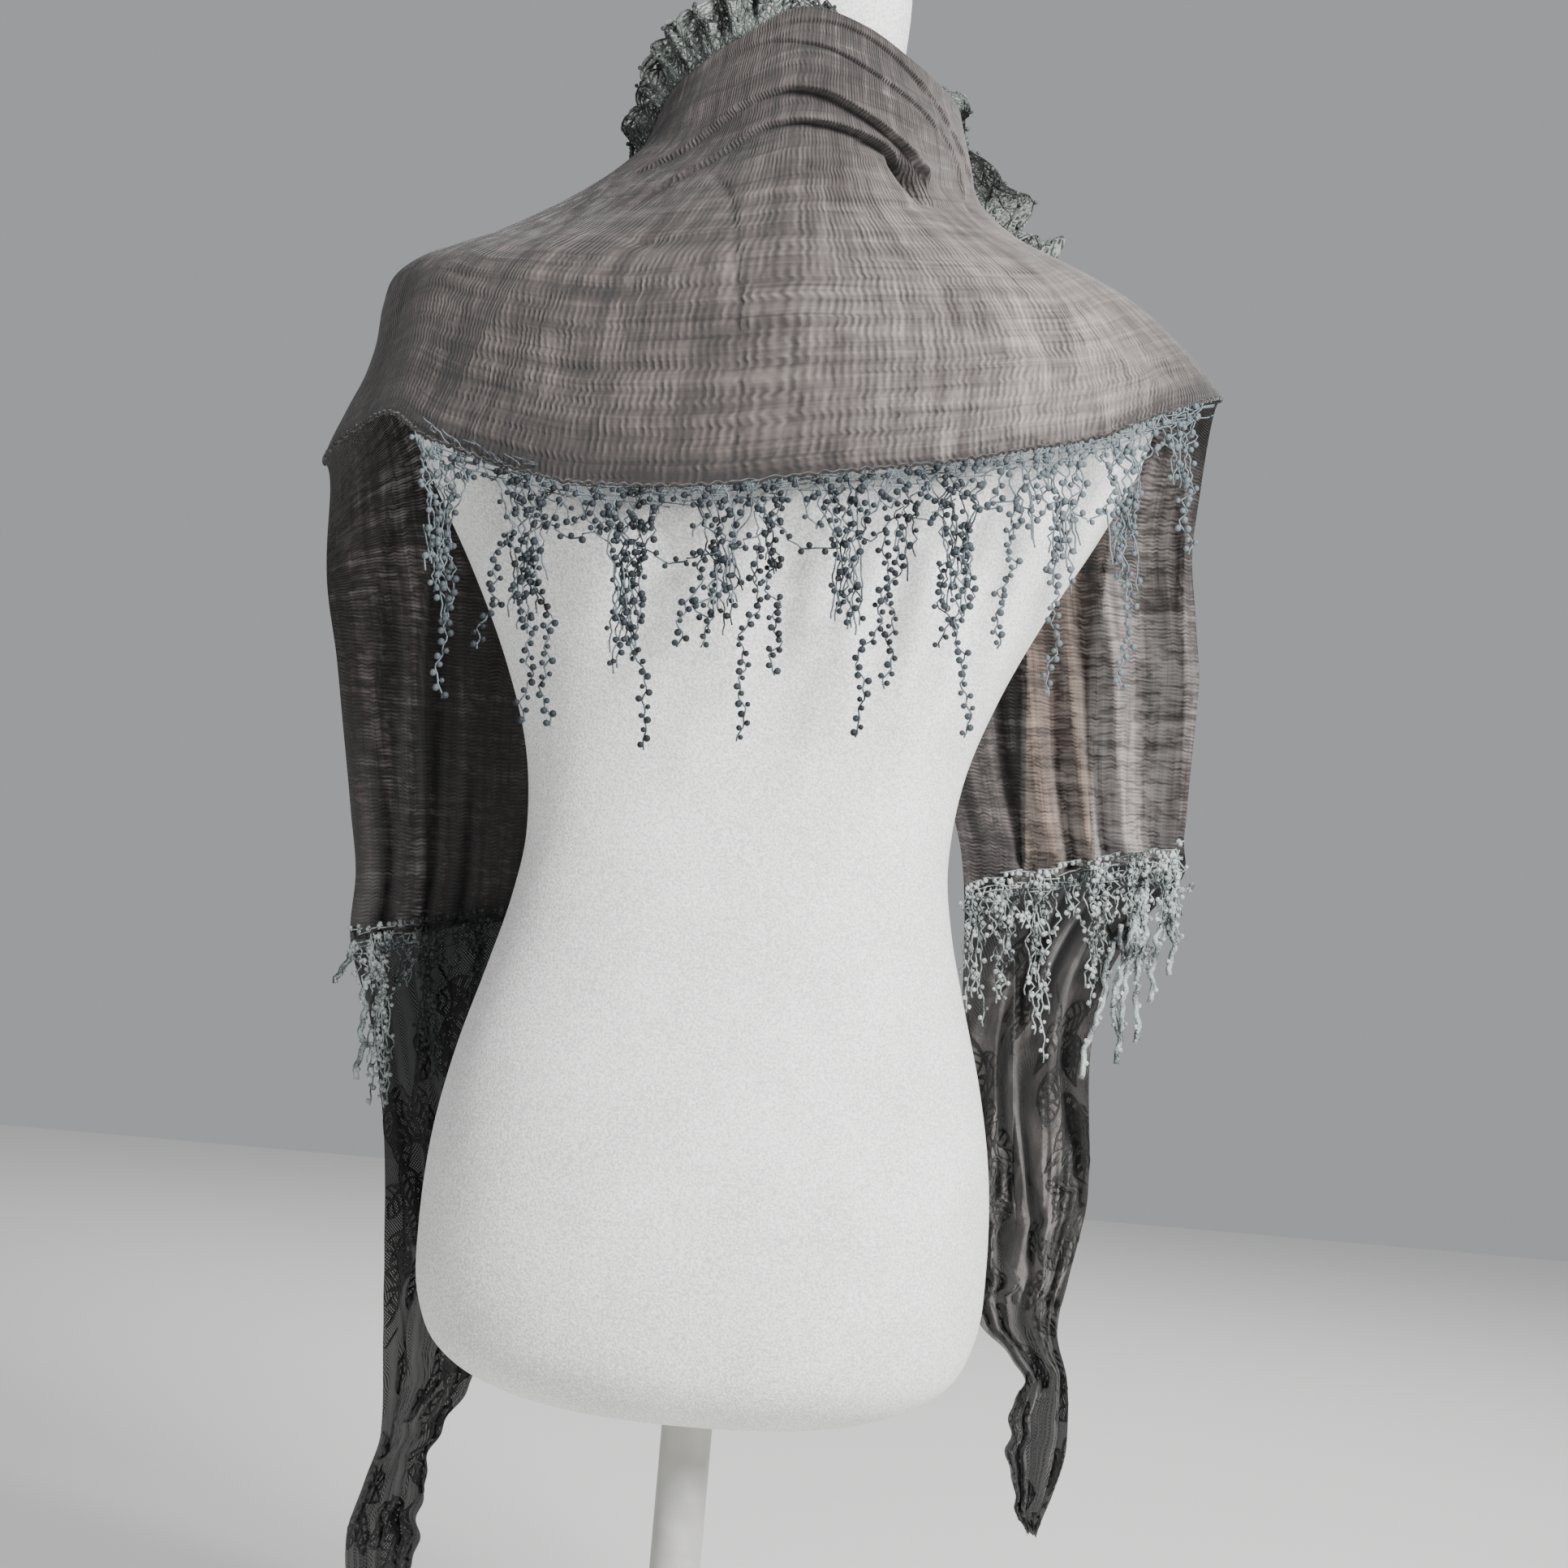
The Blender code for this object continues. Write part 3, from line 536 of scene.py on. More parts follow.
FALL_CREASES = {
    LEFT: metres(
        (((-256, 760), (-245, 690), (-236, 600)), 5, 5),
        (((-228, 620), (-218, 570), (-214, 520)), 4, 5),
        (((-160, 720), (-155, 640), (-140, 540)), 4, 9),
    ),
    RIGHT: metres(
        (((236, 835), (240, 760), (246, 690), (250, 640)), 5, 7),
        (((185, 740), (190, 690), (196, 610)), 3.5, 6),
        (((230, 720), (234, 660), (240, 610)), 3, 6),
        (((152, 720), (158, 650), (164, 590)), 6, 8),
    ),
}
LEFT_PANEL = (
    (-189, 490), (-191.7, 509), (-193.4, 543), (-196.9, 591), (-202.8, 651), (-205, 700), (-203, 780),
)
RIGHT_PANEL = (
    (157, 800), (160, 750), (164.6, 719), (170, 650), (177, 575),
)
RIGHT_BAND = (
    (211, 800), (208, 760), (206, 720), (212, 650), (218, 580),
)
FALL_FOLDS = {
    LEFT: metres(
        (LEFT_PANEL, 15, 30),
        (((-228, 630), (-228.9, 686), (-230.8, 722), (-229.5, 746), (-227.7, 783),
         (-222.2, 817)), 11, 15),
    ),
    RIGHT: metres(
        (RIGHT_PANEL, 12, 20),
        (RIGHT_BAND, 7, 20),
        (((244, 850), (247.8, 831), (256, 740), (261, 680), (264, 600)), 10, 10),
    ),
}
FOLD_EDGE = 0.0008
DEEPEST_FOLD = 0.0090
FOLD_SHADE = 0.17


def smooth_line(points):
    """Four points for each stretch of a line, on cubics of x and z over the length run."""
    points = np.array(points)
    run = run_along(points)
    rows = list(zip(run, points[:, 0], points[:, 1]))
    at = np.linspace(0, run[-1], 4 * len(points) - 3)
    return np.stack((curve(at, rows, 1), curve(at, rows, 2)), 1)


def line_distance(x, z, points):
    """Distance in x and z to a smooth line, positive on its left, and the share run along it."""
    points = smooth_line(points)
    best = np.full(x.shape, 1e9)
    share = np.zeros(x.shape)
    count = len(points) - 1
    for k in range(count):
        start = points[k]
        step = points[k + 1] - start
        f = np.clip(((x - start[0]) * step[0] + (z - start[1]) * step[1]) / (step @ step), 0, 1)
        gap = np.hypot(x - start[0] - f * step[0], z - start[1] - f * step[1])
        left = step[0] * (z - start[1]) >= step[1] * (x - start[0])
        nearer = gap < np.abs(best)
        best = np.where(nearer, np.where(left, gap, -gap), best)
        share = np.where(nearer, (k + f) / count, share)
    return best, share


def fold_height(x, z, folds):
    """At a distance s left of a line, height * exp(-s / reach). On its right, a third of that inwards."""
    total = np.zeros(x.shape)
    for points, height, reach in folds:
        gap, share = line_distance(x, z, points)
        left = smooth_step(gap, -FOLD_EDGE, FOLD_EDGE)
        over = left * np.exp(-np.maximum(gap, 0) / reach)
        under = (1 - left) * np.exp(np.minimum(gap, 0) / (0.6 * reach)) / 3
        fade = smooth_step(share, 0.0, 0.15) * (1 - smooth_step(share, 0.92, 1.0))
        total += height * (0.45 + 0.55 * share) * (over - under) * fade
    return total


def fold_shadow(x, z, folds):
    """1 just below a line, where the upper layer shades the lower one, fading as exp(-s / (0.4 reach))."""
    total = np.zeros(x.shape)
    for points, height, reach in folds:
        gap, share = line_distance(x, z, points)
        below = smooth_step(-gap, -FOLD_EDGE, FOLD_EDGE) * np.exp(-np.abs(gap) / (0.4 * reach))
        fade = smooth_step(share, 0.0, 0.10) * (1 - smooth_step(share, 0.94, 1.0))
        total += height / DEEPEST_FOLD * below * fade
    return np.minimum(total, 1)


def crease_depth(x, z, creases):
    """Sum of depth * exp(-(distance / breadth)^2), fading towards both ends of each line."""
    total = np.zeros(x.shape)
    for points, depth, breadth in creases:
        gap, share = line_distance(x, z, points)
        fade = 0.30 + 0.70 * np.sin(math.pi * np.clip(share, 0, 1)) ** 0.6
        total += depth * hump(gap, breadth) * fade
    return total


# %% [markdown]
# ## The gauze, one strip from seam to seam
# Behind the shoulders each height of the cloth is half a superellipse, a little larger than the
# form's. In front the strip turns down over the shoulder and hangs, gathered in uneven pleats.

# %% Back and falls as functions


def back_point(turn, across):
    """Half superellipses from shoulder to shoulder, turn -1 to 1, with folds and creases laid on."""
    angle = turn * math.pi / 2
    power = 2 / CLOTH_POWER
    share = np.sign(turn) * np.abs(np.sin(angle)) ** power
    top = curve(share, NECK_EDGE, 1)
    z = top + (curve(share, HEM_EDGE, 1) - top) * across
    right_side = (1 + np.sin(angle)) / 2
    half = curve(z, RIDGE_LEFT, 1) * (1 - right_side) + curve(z, RIDGE_RIGHT, 1) * right_side
    x = half * share
    behind = np.maximum(np.cos(angle), 0)
    y = -curve(z, BACK_DEPTH, 1) * behind**power
    arch = z + ARCH * (x - ARCH_MIDDLE) ** 2
    swell = sum(size * hump(arch - level, SWELL_BREADTH) for size, level in COLLAR_SWELLS)
    swell = (swell + fold_height(x, z, BACK_FOLDS) - crease_depth(x, z, BACK_CREASES)) * behind**0.5
    soft = np.sin(31 * x + 4 * np.sin(19 * z)) * np.sin(23 * z + 9 * x)
    away = smooth_step(across, 0.0, 0.3) * (1 - smooth_step(across, 0.85, 1.0))
    swell = swell + SOFT_SWELL * soft * behind * away
    grow = 1 + swell / np.maximum(np.hypot(x, y), 0.03)
    x, y = clear_of_form(x * grow, y * grow, z)
    return np.stack((x, y, z), -1)


def pleat(across, turn):
    """Uneven pleats between 0 and 1: half of 1 - cos of a phase that runs faster and slower across."""
    phase = PLEATS * across + 0.16 * np.sin(2 * math.pi * (1.4 * across + 0.13 * turn)) + 0.1 * turn
    return 0.5 - 0.5 * np.cos(2 * math.pi * phase)


def small_pleats(across, down, turn):
    """Lesser folds between the main pleats, wandering as they go down, between -1 and 1."""
    wander = 0.5 * np.sin(3.1 * down + turn) + 0.3 * np.sin(7.0 * down + 2 * turn)
    return np.sin(2 * math.pi * (8.3 * across + 0.35 * wander + turn)) * np.sin(math.pi * across) ** 0.3


def seam_height(side, across):
    """Height at which the gauze of one end stops and its lace starts."""
    tail = TAILS[side]
    return tail["seam_in"] + (tail["seam_out"] - tail["seam_in"]) * across


def hang_depth(x, z):
    """How far in front the ends hang: a plane that nears the form towards the outside, plus the drift."""
    return HANG_DEPTH - HANG_SLOPE * (np.abs(x) - HANG_FROM) + curve(z, HANG_DRIFT, 1)


def fall_point(side, down, across):
    """From the ridge (down 0) over the shoulder and down to the seam (down 1)."""
    tail = TAILS[side]
    top, low = (curve(float(side), rows, 1) for rows in (NECK_EDGE, HEM_EDGE))
    ridge_z = top + (low - top) * across
    ridge_x = curve(ridge_z, tail["ridge"], 1)
    drop = (1 + FALL_ROUND) * down**2 / (down + FALL_ROUND)
    z = ridge_z - (ridge_z - seam_height(side, across)) * drop
    inner = curve(z, tail["table"], 1)
    outer = curve(z, tail["table"], 2)
    settle = smooth_step(down, 0, 0.45)
    x = ridge_x * (1 - settle) + (inner + (outer - inner) * across) * settle
    uneven = 0.62 + 0.38 * np.sin(2.6 * down + 5.0 * across + tail["turn"])
    folds = 2 * PLEAT_DEPTH * smooth_step(down, 0.25, 0.75)
    folds = folds * pleat(across + 0.05 * np.sin(4 * down), tail["turn"])
    y = hang_depth(x, z) * (1 - np.exp(-down / SHOULDER_REACH)) + folds * uneven
    y = y + SMALL_PLEAT * smooth_step(down, 0.1, 0.6) * small_pleats(across, down, tail["turn"])
    placed = crease_depth(side * x, z, FALL_CREASES[side]) - fold_height(side * x, z, FALL_FOLDS[side])
    y = y + placed * smooth_step(down, 0.05, 0.3)
    x, y = clear_of_form(x, y, z)
    return np.stack((side * x, y, z), -1)


def form_gap(points):
    """How far the cloth lies off the form: (share - 1) * the smaller half axis."""
    share, axis = form_share(*np.moveaxis(points, -1, 0))
    return (share - 1) * axis


# %% Gauze strip
FALL_STEPS = 104
BACK_STEPS = 290
COLLAR_STEPS = 112
BELOW_STEPS = 82
COLLAR_SHARE = 0.36
GAUZE_WIDTH = 0.36
BACK_LENGTH = 0.46
FALL_LENGTH = 0.37

collar_shares = np.linspace(0, COLLAR_SHARE, COLLAR_STEPS, endpoint=False)
across = np.concatenate((collar_shares, np.linspace(COLLAR_SHARE, 1, BELOW_STEPS + 1)))
downs = np.linspace(0, 1, FALL_STEPS + 1)[1:]
turns = np.linspace(-1, 1, BACK_STEPS + 1)
fall_down, fall_over = np.meshgrid(downs, across, indexing="ij")
left_grid = fall_point(LEFT, fall_down, fall_over)
back_grid = back_point(*np.meshgrid(turns, across, indexing="ij"))
right_grid = fall_point(RIGHT, fall_down, fall_over)
gauze_points = np.concatenate((left_grid[::-1], back_grid, right_grid))


def fall_run(points):
    """Length run from the ridge: the share run near it, and the drop in height further down."""
    level = RIDGE_LEVEL - points[..., 2]
    blend = smooth_step(fall_down, 0.0, 0.4)
    return fall_down * FALL_LENGTH * (1 - blend) + level * blend + BACK_LENGTH / 2


back_run = np.broadcast_to(turns[:, None] * BACK_LENGTH / 2, back_grid.shape[:2])
run = np.concatenate((-fall_run(left_grid)[::-1], back_run, fall_run(right_grid)))
gauze_uv = np.stack((run, np.broadcast_to(across * GAUZE_WIDTH, run.shape)), -1)
gauze_area = surface_area(gauze_points)
gauze_flat = GAUZE_WIDTH * (BACK_LENGTH + 2 * FALL_LENGTH)
print(f"gauze {gauze_area:.3f} m2 worn, {gauze_flat:.3f} m2 flat")

# %% [markdown]
# ## Crinkled cotton gauze
# Gauze is an open plain weave. After washing it shrinks into fine ripples that run across the
# strip, 2.3 mm apart, and sway together from side to side wherever a tighter thread crosses them.
# The pattern reads the flat cloth's own coordinates, so it follows the cloth over the shoulder.

# %% Gauze material
RIPPLE_PITCH = 0.0023
gauze_cloth, tree, shader = new_material(
    "crinkled cotton gauze", Roughness=0.92, Sheen_Weight=0.2, Sheen_Roughness=0.6
)
flat = add(tree, "ShaderNodeUVMap", uv_map="cloth").outputs["UV"]
split = add(tree, "ShaderNodeSeparateXYZ", {"Vector": flat})
sway = stretched(tree, flat, 60.0, 9.0, 1.0)
shifted = calc(tree, "MULTIPLY_ADD", sway, 0.0031, split.outputs["X"])
ripple = calc(tree, "SINE", calc(tree, "MULTIPLY", shifted, 2 * math.pi / RIPPLE_PITCH))
strength = stretched(tree, flat, 6.0, 12.0, 1.0)
ripple = calc(tree, "MULTIPLY", ripple, calc(tree, "MULTIPLY_ADD", strength, 2.6, -0.7))
rows = stretched(tree, flat, 40.0, 2.2, 1.0, 0.2)
tight = stretched(tree, flat, 70.0, 5.5, 1.0, 0.3)
columns = stretched(tree, flat, 5.5, 110.0, 2.0)
cloud = stretched(tree, flat, 36.0, 30.0, 3.0)
bands = stretched(tree, flat, 90.0, 9.0, 2.0, 0.2)
wide_columns = stretched(tree, flat, 13.0, 170.0, 1.0)
swayed = add(tree, "ShaderNodeCombineXYZ", {"X": shifted, "Y": split.outputs["Y"]}).outputs["Vector"]
level = calc(tree, "ABSOLUTE", calc(tree, "SUBTRACT", stretched(tree, swayed, 7.0, 60.0, 2.0), 0.5))
pulled = remap(tree, level, 0.01, 0.06, 1.0, 0.0)
weave = calc(tree, "MULTIPLY_ADD", ripple, 0.085, calc(tree, "MULTIPLY_ADD", rows, 0.14, -0.17))
# Painted light and shade, set per point on the gauze piece below.
weave = calc(tree, "ADD", weave, attribute(tree, "shade"))
hanging = calc(tree, "MULTIPLY_ADD", attribute(tree, "hang"), -0.09, -0.06)
for part, weight in (
    (pulled, hanging),
    (columns, 0.38),
    (wide_columns, 0.24),
    (bands, 0.32),
    (cloud, 0.32),
    # Painted light where the cloth lies on the white form.
    (attribute(tree, "near"), 0.13),
    (remap(tree, tight, 0.32, 0.43, 1.0, 0.0), -0.06),
    (attribute(tree, "hem"), -0.16),
):
    weave = calc(tree, "MULTIPLY_ADD", part, weight, weave)
browns = ((0.38, "#1d1918"), (0.55, "#3b3432"), (0.68, "#5a524f"), (0.80, "#7b726d"), (0.94, "#a49b95"))
warmed = mixed(tree, attribute(tree, "warm"), ramp(tree, weave, browns), linear("#eed5bc"), "MULTIPLY")
height = calc(tree, "MULTIPLY_ADD", ripple, 0.5, calc(tree, "MULTIPLY", weave, 1.4))
finish_surface(tree, shader, warmed, height, 0.7, 0.0011)
tree.links.new(remap(tree, weave, 0.55, 0.95, 1.0, 0.66), shader.inputs["Alpha"])

# %% Gauze piece
SHOW_THROUGH_REACH = 0.020
BACK_LIGHT_AND_SHADE = (
    # x, tone: painted light and shade, lighter towards the right where the light falls and the lit form shows
    # through, darker towards the left
    (-0.25, -0.1), (-0.19, -0.08), (-0.1, -0.05), (-0.01, 0.0), (0.04, 0.07), (0.09, 0.11),
    (0.14, 0.16), (0.19, 0.15), (0.23, 0.03), (0.26, -0.03),
)


def inner_side(points, line):
    """1 where a point of a fall lies on the inner side of a fold's line, 0 on its outer side."""
    edge_x = curve(points[..., 2], [(z, abs(x)) for x, z in metres(*line)], 1)
    return smooth_step(edge_x - np.abs(points[..., 0]), -0.002, 0.002)


gauze = mesh_object("gauze_strip", gauze_points, grid_faces(*gauze_points.shape[:2]), uv=gauze_uv)
x, y, z = np.moveaxis(gauze_points, -1, 0)
behind = smooth_step(-y, 0.02, 0.07)
# Painted light: near lightens the gauze where it lies within about 20 mm of the white form, standing in for the lit
# form showing through.
point_values(gauze, "near", hump(np.maximum(form_gap(gauze_points) - CLEARANCE, 0), SHOW_THROUGH_REACH) * behind)
point_values(gauze, "hem", np.broadcast_to(smooth_step(across, 0.90, 1.0), run.shape))
front = smooth_step(y, 0.03, 0.06)
panel = inner_side(gauze_points, RIGHT_PANEL)
high = smooth_step(z, 0.66, 0.80)
band = inner_side(gauze_points, RIGHT_BAND)
# Painted light and shade on the hanging ends: the right end lighter, as the light falls from the right, but darker
# near its top; the left end lighter near its top; both darker on the inner panels that lie behind a fold.
left_light_and_shade = 0.01 + 0.06 * high - 0.10 * inner_side(gauze_points, LEFT_PANEL)
right_light_and_shade = 0.30 - 0.17 * high - 0.08 * band - 0.22 * panel
# Painted light and shade on the back: the table's tone, faded out at the top of the collar, less a painted shadow
# below each collar fold.
back_light_and_shade = curve(x, BACK_LIGHT_AND_SHADE, 1) * (1 - 0.9 * smooth_step(z, 0.985, 1.015))
back_light_and_shade = back_light_and_shade - FOLD_SHADE * fold_shadow(x, z, BACK_FOLDS)
point_values(gauze, "shade", np.where(x < 0, left_light_and_shade, right_light_and_shade) * front + back_light_and_shade * (1 - front))
point_values(gauze, "hang", front)
low = 1 - smooth_step(z, 0.79, 0.86)
point_values(gauze, "warm", (1 - panel) * band * front * low * (x >= 0))
gauze.data.materials.append(gauze_cloth)
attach(gauze, "root")
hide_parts("shawl_back", "fall_left", "fall_right")
print("gauze", len(gauze.data.polygons), "faces")

# %% [markdown]
# ## The lace ends
# Below the gauze hangs burnout lace: a sheer ground from which acid has eaten all but the leaves.
# It is gathered ever tighter to its tip, and tied in at a few places where it puckers.

# %% Lace ends as functions
LACE_FOLDS = 3.6
LACE_LENGTH = {LEFT: 0.430, RIGHT: 0.400}
TIES = {
    # shares of the way down where the end is drawn in
    LEFT: (0.62, 0.70, 0.80),
    RIGHT: (0.47, 0.66, 0.74),
}
LAP = 0.0030
EDGE_WANDER = 0.0014
SEAM_LIFT = 0.0012
PUCKER_DEPTH = 0.0042
FINE_FOLD = 0.0014
KNOTS = {
    # half_width, z, size
    LEFT: metres(172, 215, 8),
    RIGHT: metres(186, 368, 11),
}
LACE_LAYERS = {
    LEFT: metres(
        (((-170, 300), (-176, 360), (-183, 440), (-189, 500)), 9, 20),
    ),
    RIGHT: metres(
        (((192, 352), (188.3, 381), (182, 440), (176.6, 520)), 13, 15),
        (((180, 345), (195, 325), (210, 300), (216, 270)), 7, 8),
        (((199, 262), (210, 258), (224, 262)), 6, 6),
    ),
}
LACE_CREASES = {
    LEFT: metres(
        (((-186, 480), (-183, 400), (-176, 330), (-172, 270)), 9, 4.5),
        (((-140, 300), (-160, 260), (-175, 220)), 6, 5),
        (((-160, 210), (-175, 190), (-185, 172)), 7, 4),
        (((-165, 165), (-185, 140), (-190, 110)), 5, 5),
    ),
    RIGHT: metres(
        (((172, 480), (176, 430), (178, 380), (182, 345)), 13, 3.8),
        (((196, 410), (200, 370), (206, 330)), 5, 6),
        (((176, 330), (196, 310), (210, 285)), 8, 4),
        (((184, 345), (204, 322), (222, 312)), 6, 4),
        (((206, 290), (214, 270), (224, 262)), 7, 3.5),
        (((206, 250), (212, 225), (213, 200)), 6, 3.5),
    ),
}


def lace_folds(across, down, turn):
    """Folds between 0 and 1 whose phase drifts unevenly as the bunch twists."""
    phase = LACE_FOLDS * across + 0.30 * np.sin(2 * math.pi * (0.9 * across + 0.7 * down) + turn)
    phase = phase + 0.16 * np.sin(2 * math.pi * (2.1 * across - 1.6 * down) + 2 * turn) + 0.55 * down
    return 0.5 - 0.5 * np.cos(2 * math.pi * phase)


def puckers(side, across, down):
    """Short ripples round each tie, which fade within 4 percent of the length."""
    total = np.zeros(np.broadcast(across, down).shape)
    for k, place in enumerate(TIES[side]):
        total = total + hump(down - place - 0.02 * np.sin(5 * across + k), 0.035)
    return total * np.sin(46 * across + 30 * down + side) * (0.6 + 0.4 * np.sin(17 * across + 9 * down))


def lace_point(side, down, across):
    """From the seam (down 0) to the tip (down 1): x between the table's edges, y in folds behind them."""
    tail = TAILS[side]
    seam = seam_height(side, across) + LAP
    z = seam - (seam - tail["tip"]) * down
    inner = curve(z, tail["table"], 1)
    outer = curve(z, tail["table"], 2)
    width = outer - inner
    lean = 0.07 * width * np.sin(9 * down + tail["turn"]) * np.sin(math.pi * across)
    ragged = EDGE_WANDER * (np.sin(83 * down) + 0.7 * np.sin(139 * down + 2))
    ragged = ragged * smooth_step(down, 0.45, 0.60) * (1 - across)
    x = inner + width * across + lean + ragged
    gathered = smooth_step(down, 0.02, 0.40)
    shares = np.linspace(0, 1, 500)
    seam_depth = np.interp(across, shares, fall_point(side, np.ones_like(shares), shares)[:, 1])
    deep = np.minimum(0.0200, 0.0050 + 0.20 * width) * lace_folds(across, down, tail["turn"])
    curl = 0.4 * curve(z, HANG_DRIFT, 2) * (1 - (2 * across - 1) ** 2)
    y = (seam_depth + SEAM_LIFT) * (1 - gathered) + (hang_depth(x, z) + curl + deep) * gathered
    tied = smooth_step(down, 0.03, 0.10)
    placed = crease_depth(side * x, z, LACE_CREASES[side]) - fold_height(side * x, z, LACE_LAYERS[side])
    y = y + tied * (placed + PUCKER_DEPTH * puckers(side, across, down))
    knot_x, knot_z, size = KNOTS[side]
    aside, above = x - knot_x, z - knot_z
    wrinkle = np.sin(900 * aside + 500 * above) * np.sin(1100 * above - 300 * aside)
    y = y - size * hump(np.hypot(aside, above), size) * (0.8 + 0.25 * wrinkle)
    phase = 11.0 * across + 3.0 * down + 0.7 * np.sin(12 * down) + 0.5 * np.sin(9 * across)
    y = y + FINE_FOLD * np.sin(2 * math.pi * phase) * smooth_step(down, 0.25, 0.55)
    x, y = clear_of_form(x, y, z)
    return np.stack((side * x, y, z), -1)


# %% Burnout lace ground
# Nylon and viscose lace ground: a fine diagonal mesh with a 2.1 mm pitch, sheer enough that light
# passes, mottled where the burnt fibres are uneven.
ground, tree, shader = new_material("burnout lace ground", Roughness=0.8, Sheen_Weight=0.15)
flat = add(tree, "ShaderNodeUVMap", uv_map="cloth").outputs["UV"]
patch = stretched(tree, flat, 30.0, 22.0, 3.0, 0.4)
grain = stretched(tree, flat, 1.8, 1.8, 3.0, 1.2)
MESH_PITCH = 0.0021
split = add(tree, "ShaderNodeSeparateXYZ", {"Vector": flat})
slants = [calc(tree, operation, split.outputs["X"], split.outputs["Y"]) for operation in ("ADD", "SUBTRACT")]
turns = [calc(tree, "MULTIPLY", slant, 2 * math.pi / MESH_PITCH) for slant in slants]
net = calc(tree, "MAXIMUM", *[calc(tree, "SINE", turn) for turn in turns])
body = calc(tree, "MULTIPLY_ADD", grain, 0.35, calc(tree, "MULTIPLY_ADD", patch, 0.7, 0.17))
body = calc(tree, "MULTIPLY_ADD", net, calc(tree, "MULTIPLY", patch, 0.16), body)
# Painted light and shade, set per point on each lace end.
body = calc(tree, "ADD", body, attribute(tree, "shade"))
tone = ramp(tree, body, ((0.50, "#121111"), (0.66, "#292625"), (0.78, "#413d3b"), (0.94, "#6b6562")))
finish_surface(tree, shader, tone, body, 0.7, 0.0015)
tree.links.new(remap(tree, net, -0.6, 0.5, 0.78, 1.0), shader.inputs["Alpha"])

# %% [markdown]
# Each row of an end is laid out flat at its true length, so that leaves drawn on the flat cloth
# keep their size on the gathered one.

# %% Lace ground pieces
LACE_ROWS = 230
LACE_COLUMNS = 240
FLAT_STEPS = 500


def sample(table, i, j):
    """Reads a grid of values between its rows and columns, blending the four nearest."""
    i = np.clip(i, 0, table.shape[0] - 1.001)
    j = np.clip(j, 0, table.shape[1] - 1.001)
    low_i = i.astype(int)
    low_j = j.astype(int)
    f = i - low_i
    g = j - low_j
    if table.ndim == 3:
        f = f[..., None]
        g = g[..., None]
    near_row = table[low_i, low_j] * (1 - g) + table[low_i, low_j + 1] * g
    far_row = table[low_i + 1, low_j] * (1 - g) + table[low_i + 1, low_j + 1] * g
    return near_row * (1 - f) + far_row * f


lace_ends = {}
for side, name, node in ((LEFT, "lace_left", "lace_end_left"), (RIGHT, "lace_right", "lace_end_right")):
    down, over = np.meshgrid(np.linspace(0, 1, LACE_ROWS), np.linspace(0, 1, LACE_COLUMNS), indexing="ij")
    points = lace_point(side, down, over)
    steps = np.linalg.norm(np.diff(points, axis=1), axis=2)
    laid = np.concatenate((np.zeros((LACE_ROWS, 1)), np.cumsum(steps, axis=1)), axis=1)
    half = laid[:, -1] / 2
    laid = laid - half[:, None]
    even = np.linspace(-1, 1, FLAT_STEPS)
    back_to_over = np.stack([np.interp(even, laid[k] / half[k], over[k]) for k in range(LACE_ROWS)])
    normals = unit(np.cross(np.gradient(points, axis=1), np.gradient(points, axis=0)))
    length = LACE_LENGTH[side]
    piece = mesh_object(name, points, grid_faces(LACE_ROWS, LACE_COLUMNS), uv=np.stack((down * length, laid), -1))
    # Painted shade and light: the left end darker and the right one lighter, as the light falls from the right. Both
    # are also darker just below the seam, and the right one towards its tip.
    side_painted_shade = -0.24 if side == LEFT else 0.06
    darker_tip = 0.22 * smooth_step(down, 0.60, 0.80) if side == RIGHT else 0.0
    point_values(piece, "shade", side_painted_shade - darker_tip - 0.10 * (1 - smooth_step(down, 0.10, 0.32)))
    piece.data.materials.append(ground)
    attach(piece, "root")
    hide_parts(node)
    lace_ends[side] = {
        "piece": piece, "points": points, "normals": normals, "half": half, "over": back_to_over,
        "length": length, "width": 2 * float(half.max()), "area": 2 * float(half.mean()) * length,
    }
    worn = surface_area(points)
    print(f"{name} {worn:.3f} m2 worn, {lace_ends[side]['area']:.3f} m2 flat, {2 * half.max():.3f} m wide")

# %% [markdown]
# ## Leaves on the lace
# The pattern is drawn as narrow ribbons on the flat panel and then carried onto the folded one,
# exactly as cloth carries its pattern. A leaf has an outline, a midrib and slanted side veins.

# %% Ribbons on a flat panel
LEAF_LINE = 0.0014
LEAF_LIFT = 0.0005
VEIN_PITCH = 0.0056
SPRIG_PITCH = 0.056


def ribbon(path, breadth):
    """Strip of quads along a flat path: each point moves breadth / 2 to both sides of its direction."""
    direction = unit(np.gradient(path, axis=0))
    aside = np.stack((-direction[:, 1], direction[:, 0]), 1) * breadth / 2
    return np.stack((path - aside, path + aside), 1)


def leaf_paths(centre, angle, length, breadth):
    """Outline, midrib and veins of one leaf. Half its breadth at share s is b * sin(pi s^0.8)."""
    share = np.linspace(0, 1, 14)
    half = breadth / 2 * np.sin(math.pi * share**0.8)
    lines = [np.stack((share * length, side * half), 1) for side in (-1, 1)]
    lines.append(np.stack((np.linspace(0, length, 6), np.zeros(6)), 1))
    for s in np.arange(0.10, 0.86, VEIN_PITCH / length):
        reach = breadth / 2 * math.sin(math.pi * min(s + 0.10, 1.0) ** 0.8)
        for side in (-1, 1):
            steps = np.linspace(0, 1, 4)
            lines.append(np.stack(((s + 0.10 * steps) * length, side * reach * steps), 1))
    turn = np.array(((math.cos(angle), math.sin(angle)), (-math.sin(angle), math.cos(angle))))
    return [line @ turn + centre for line in lines]


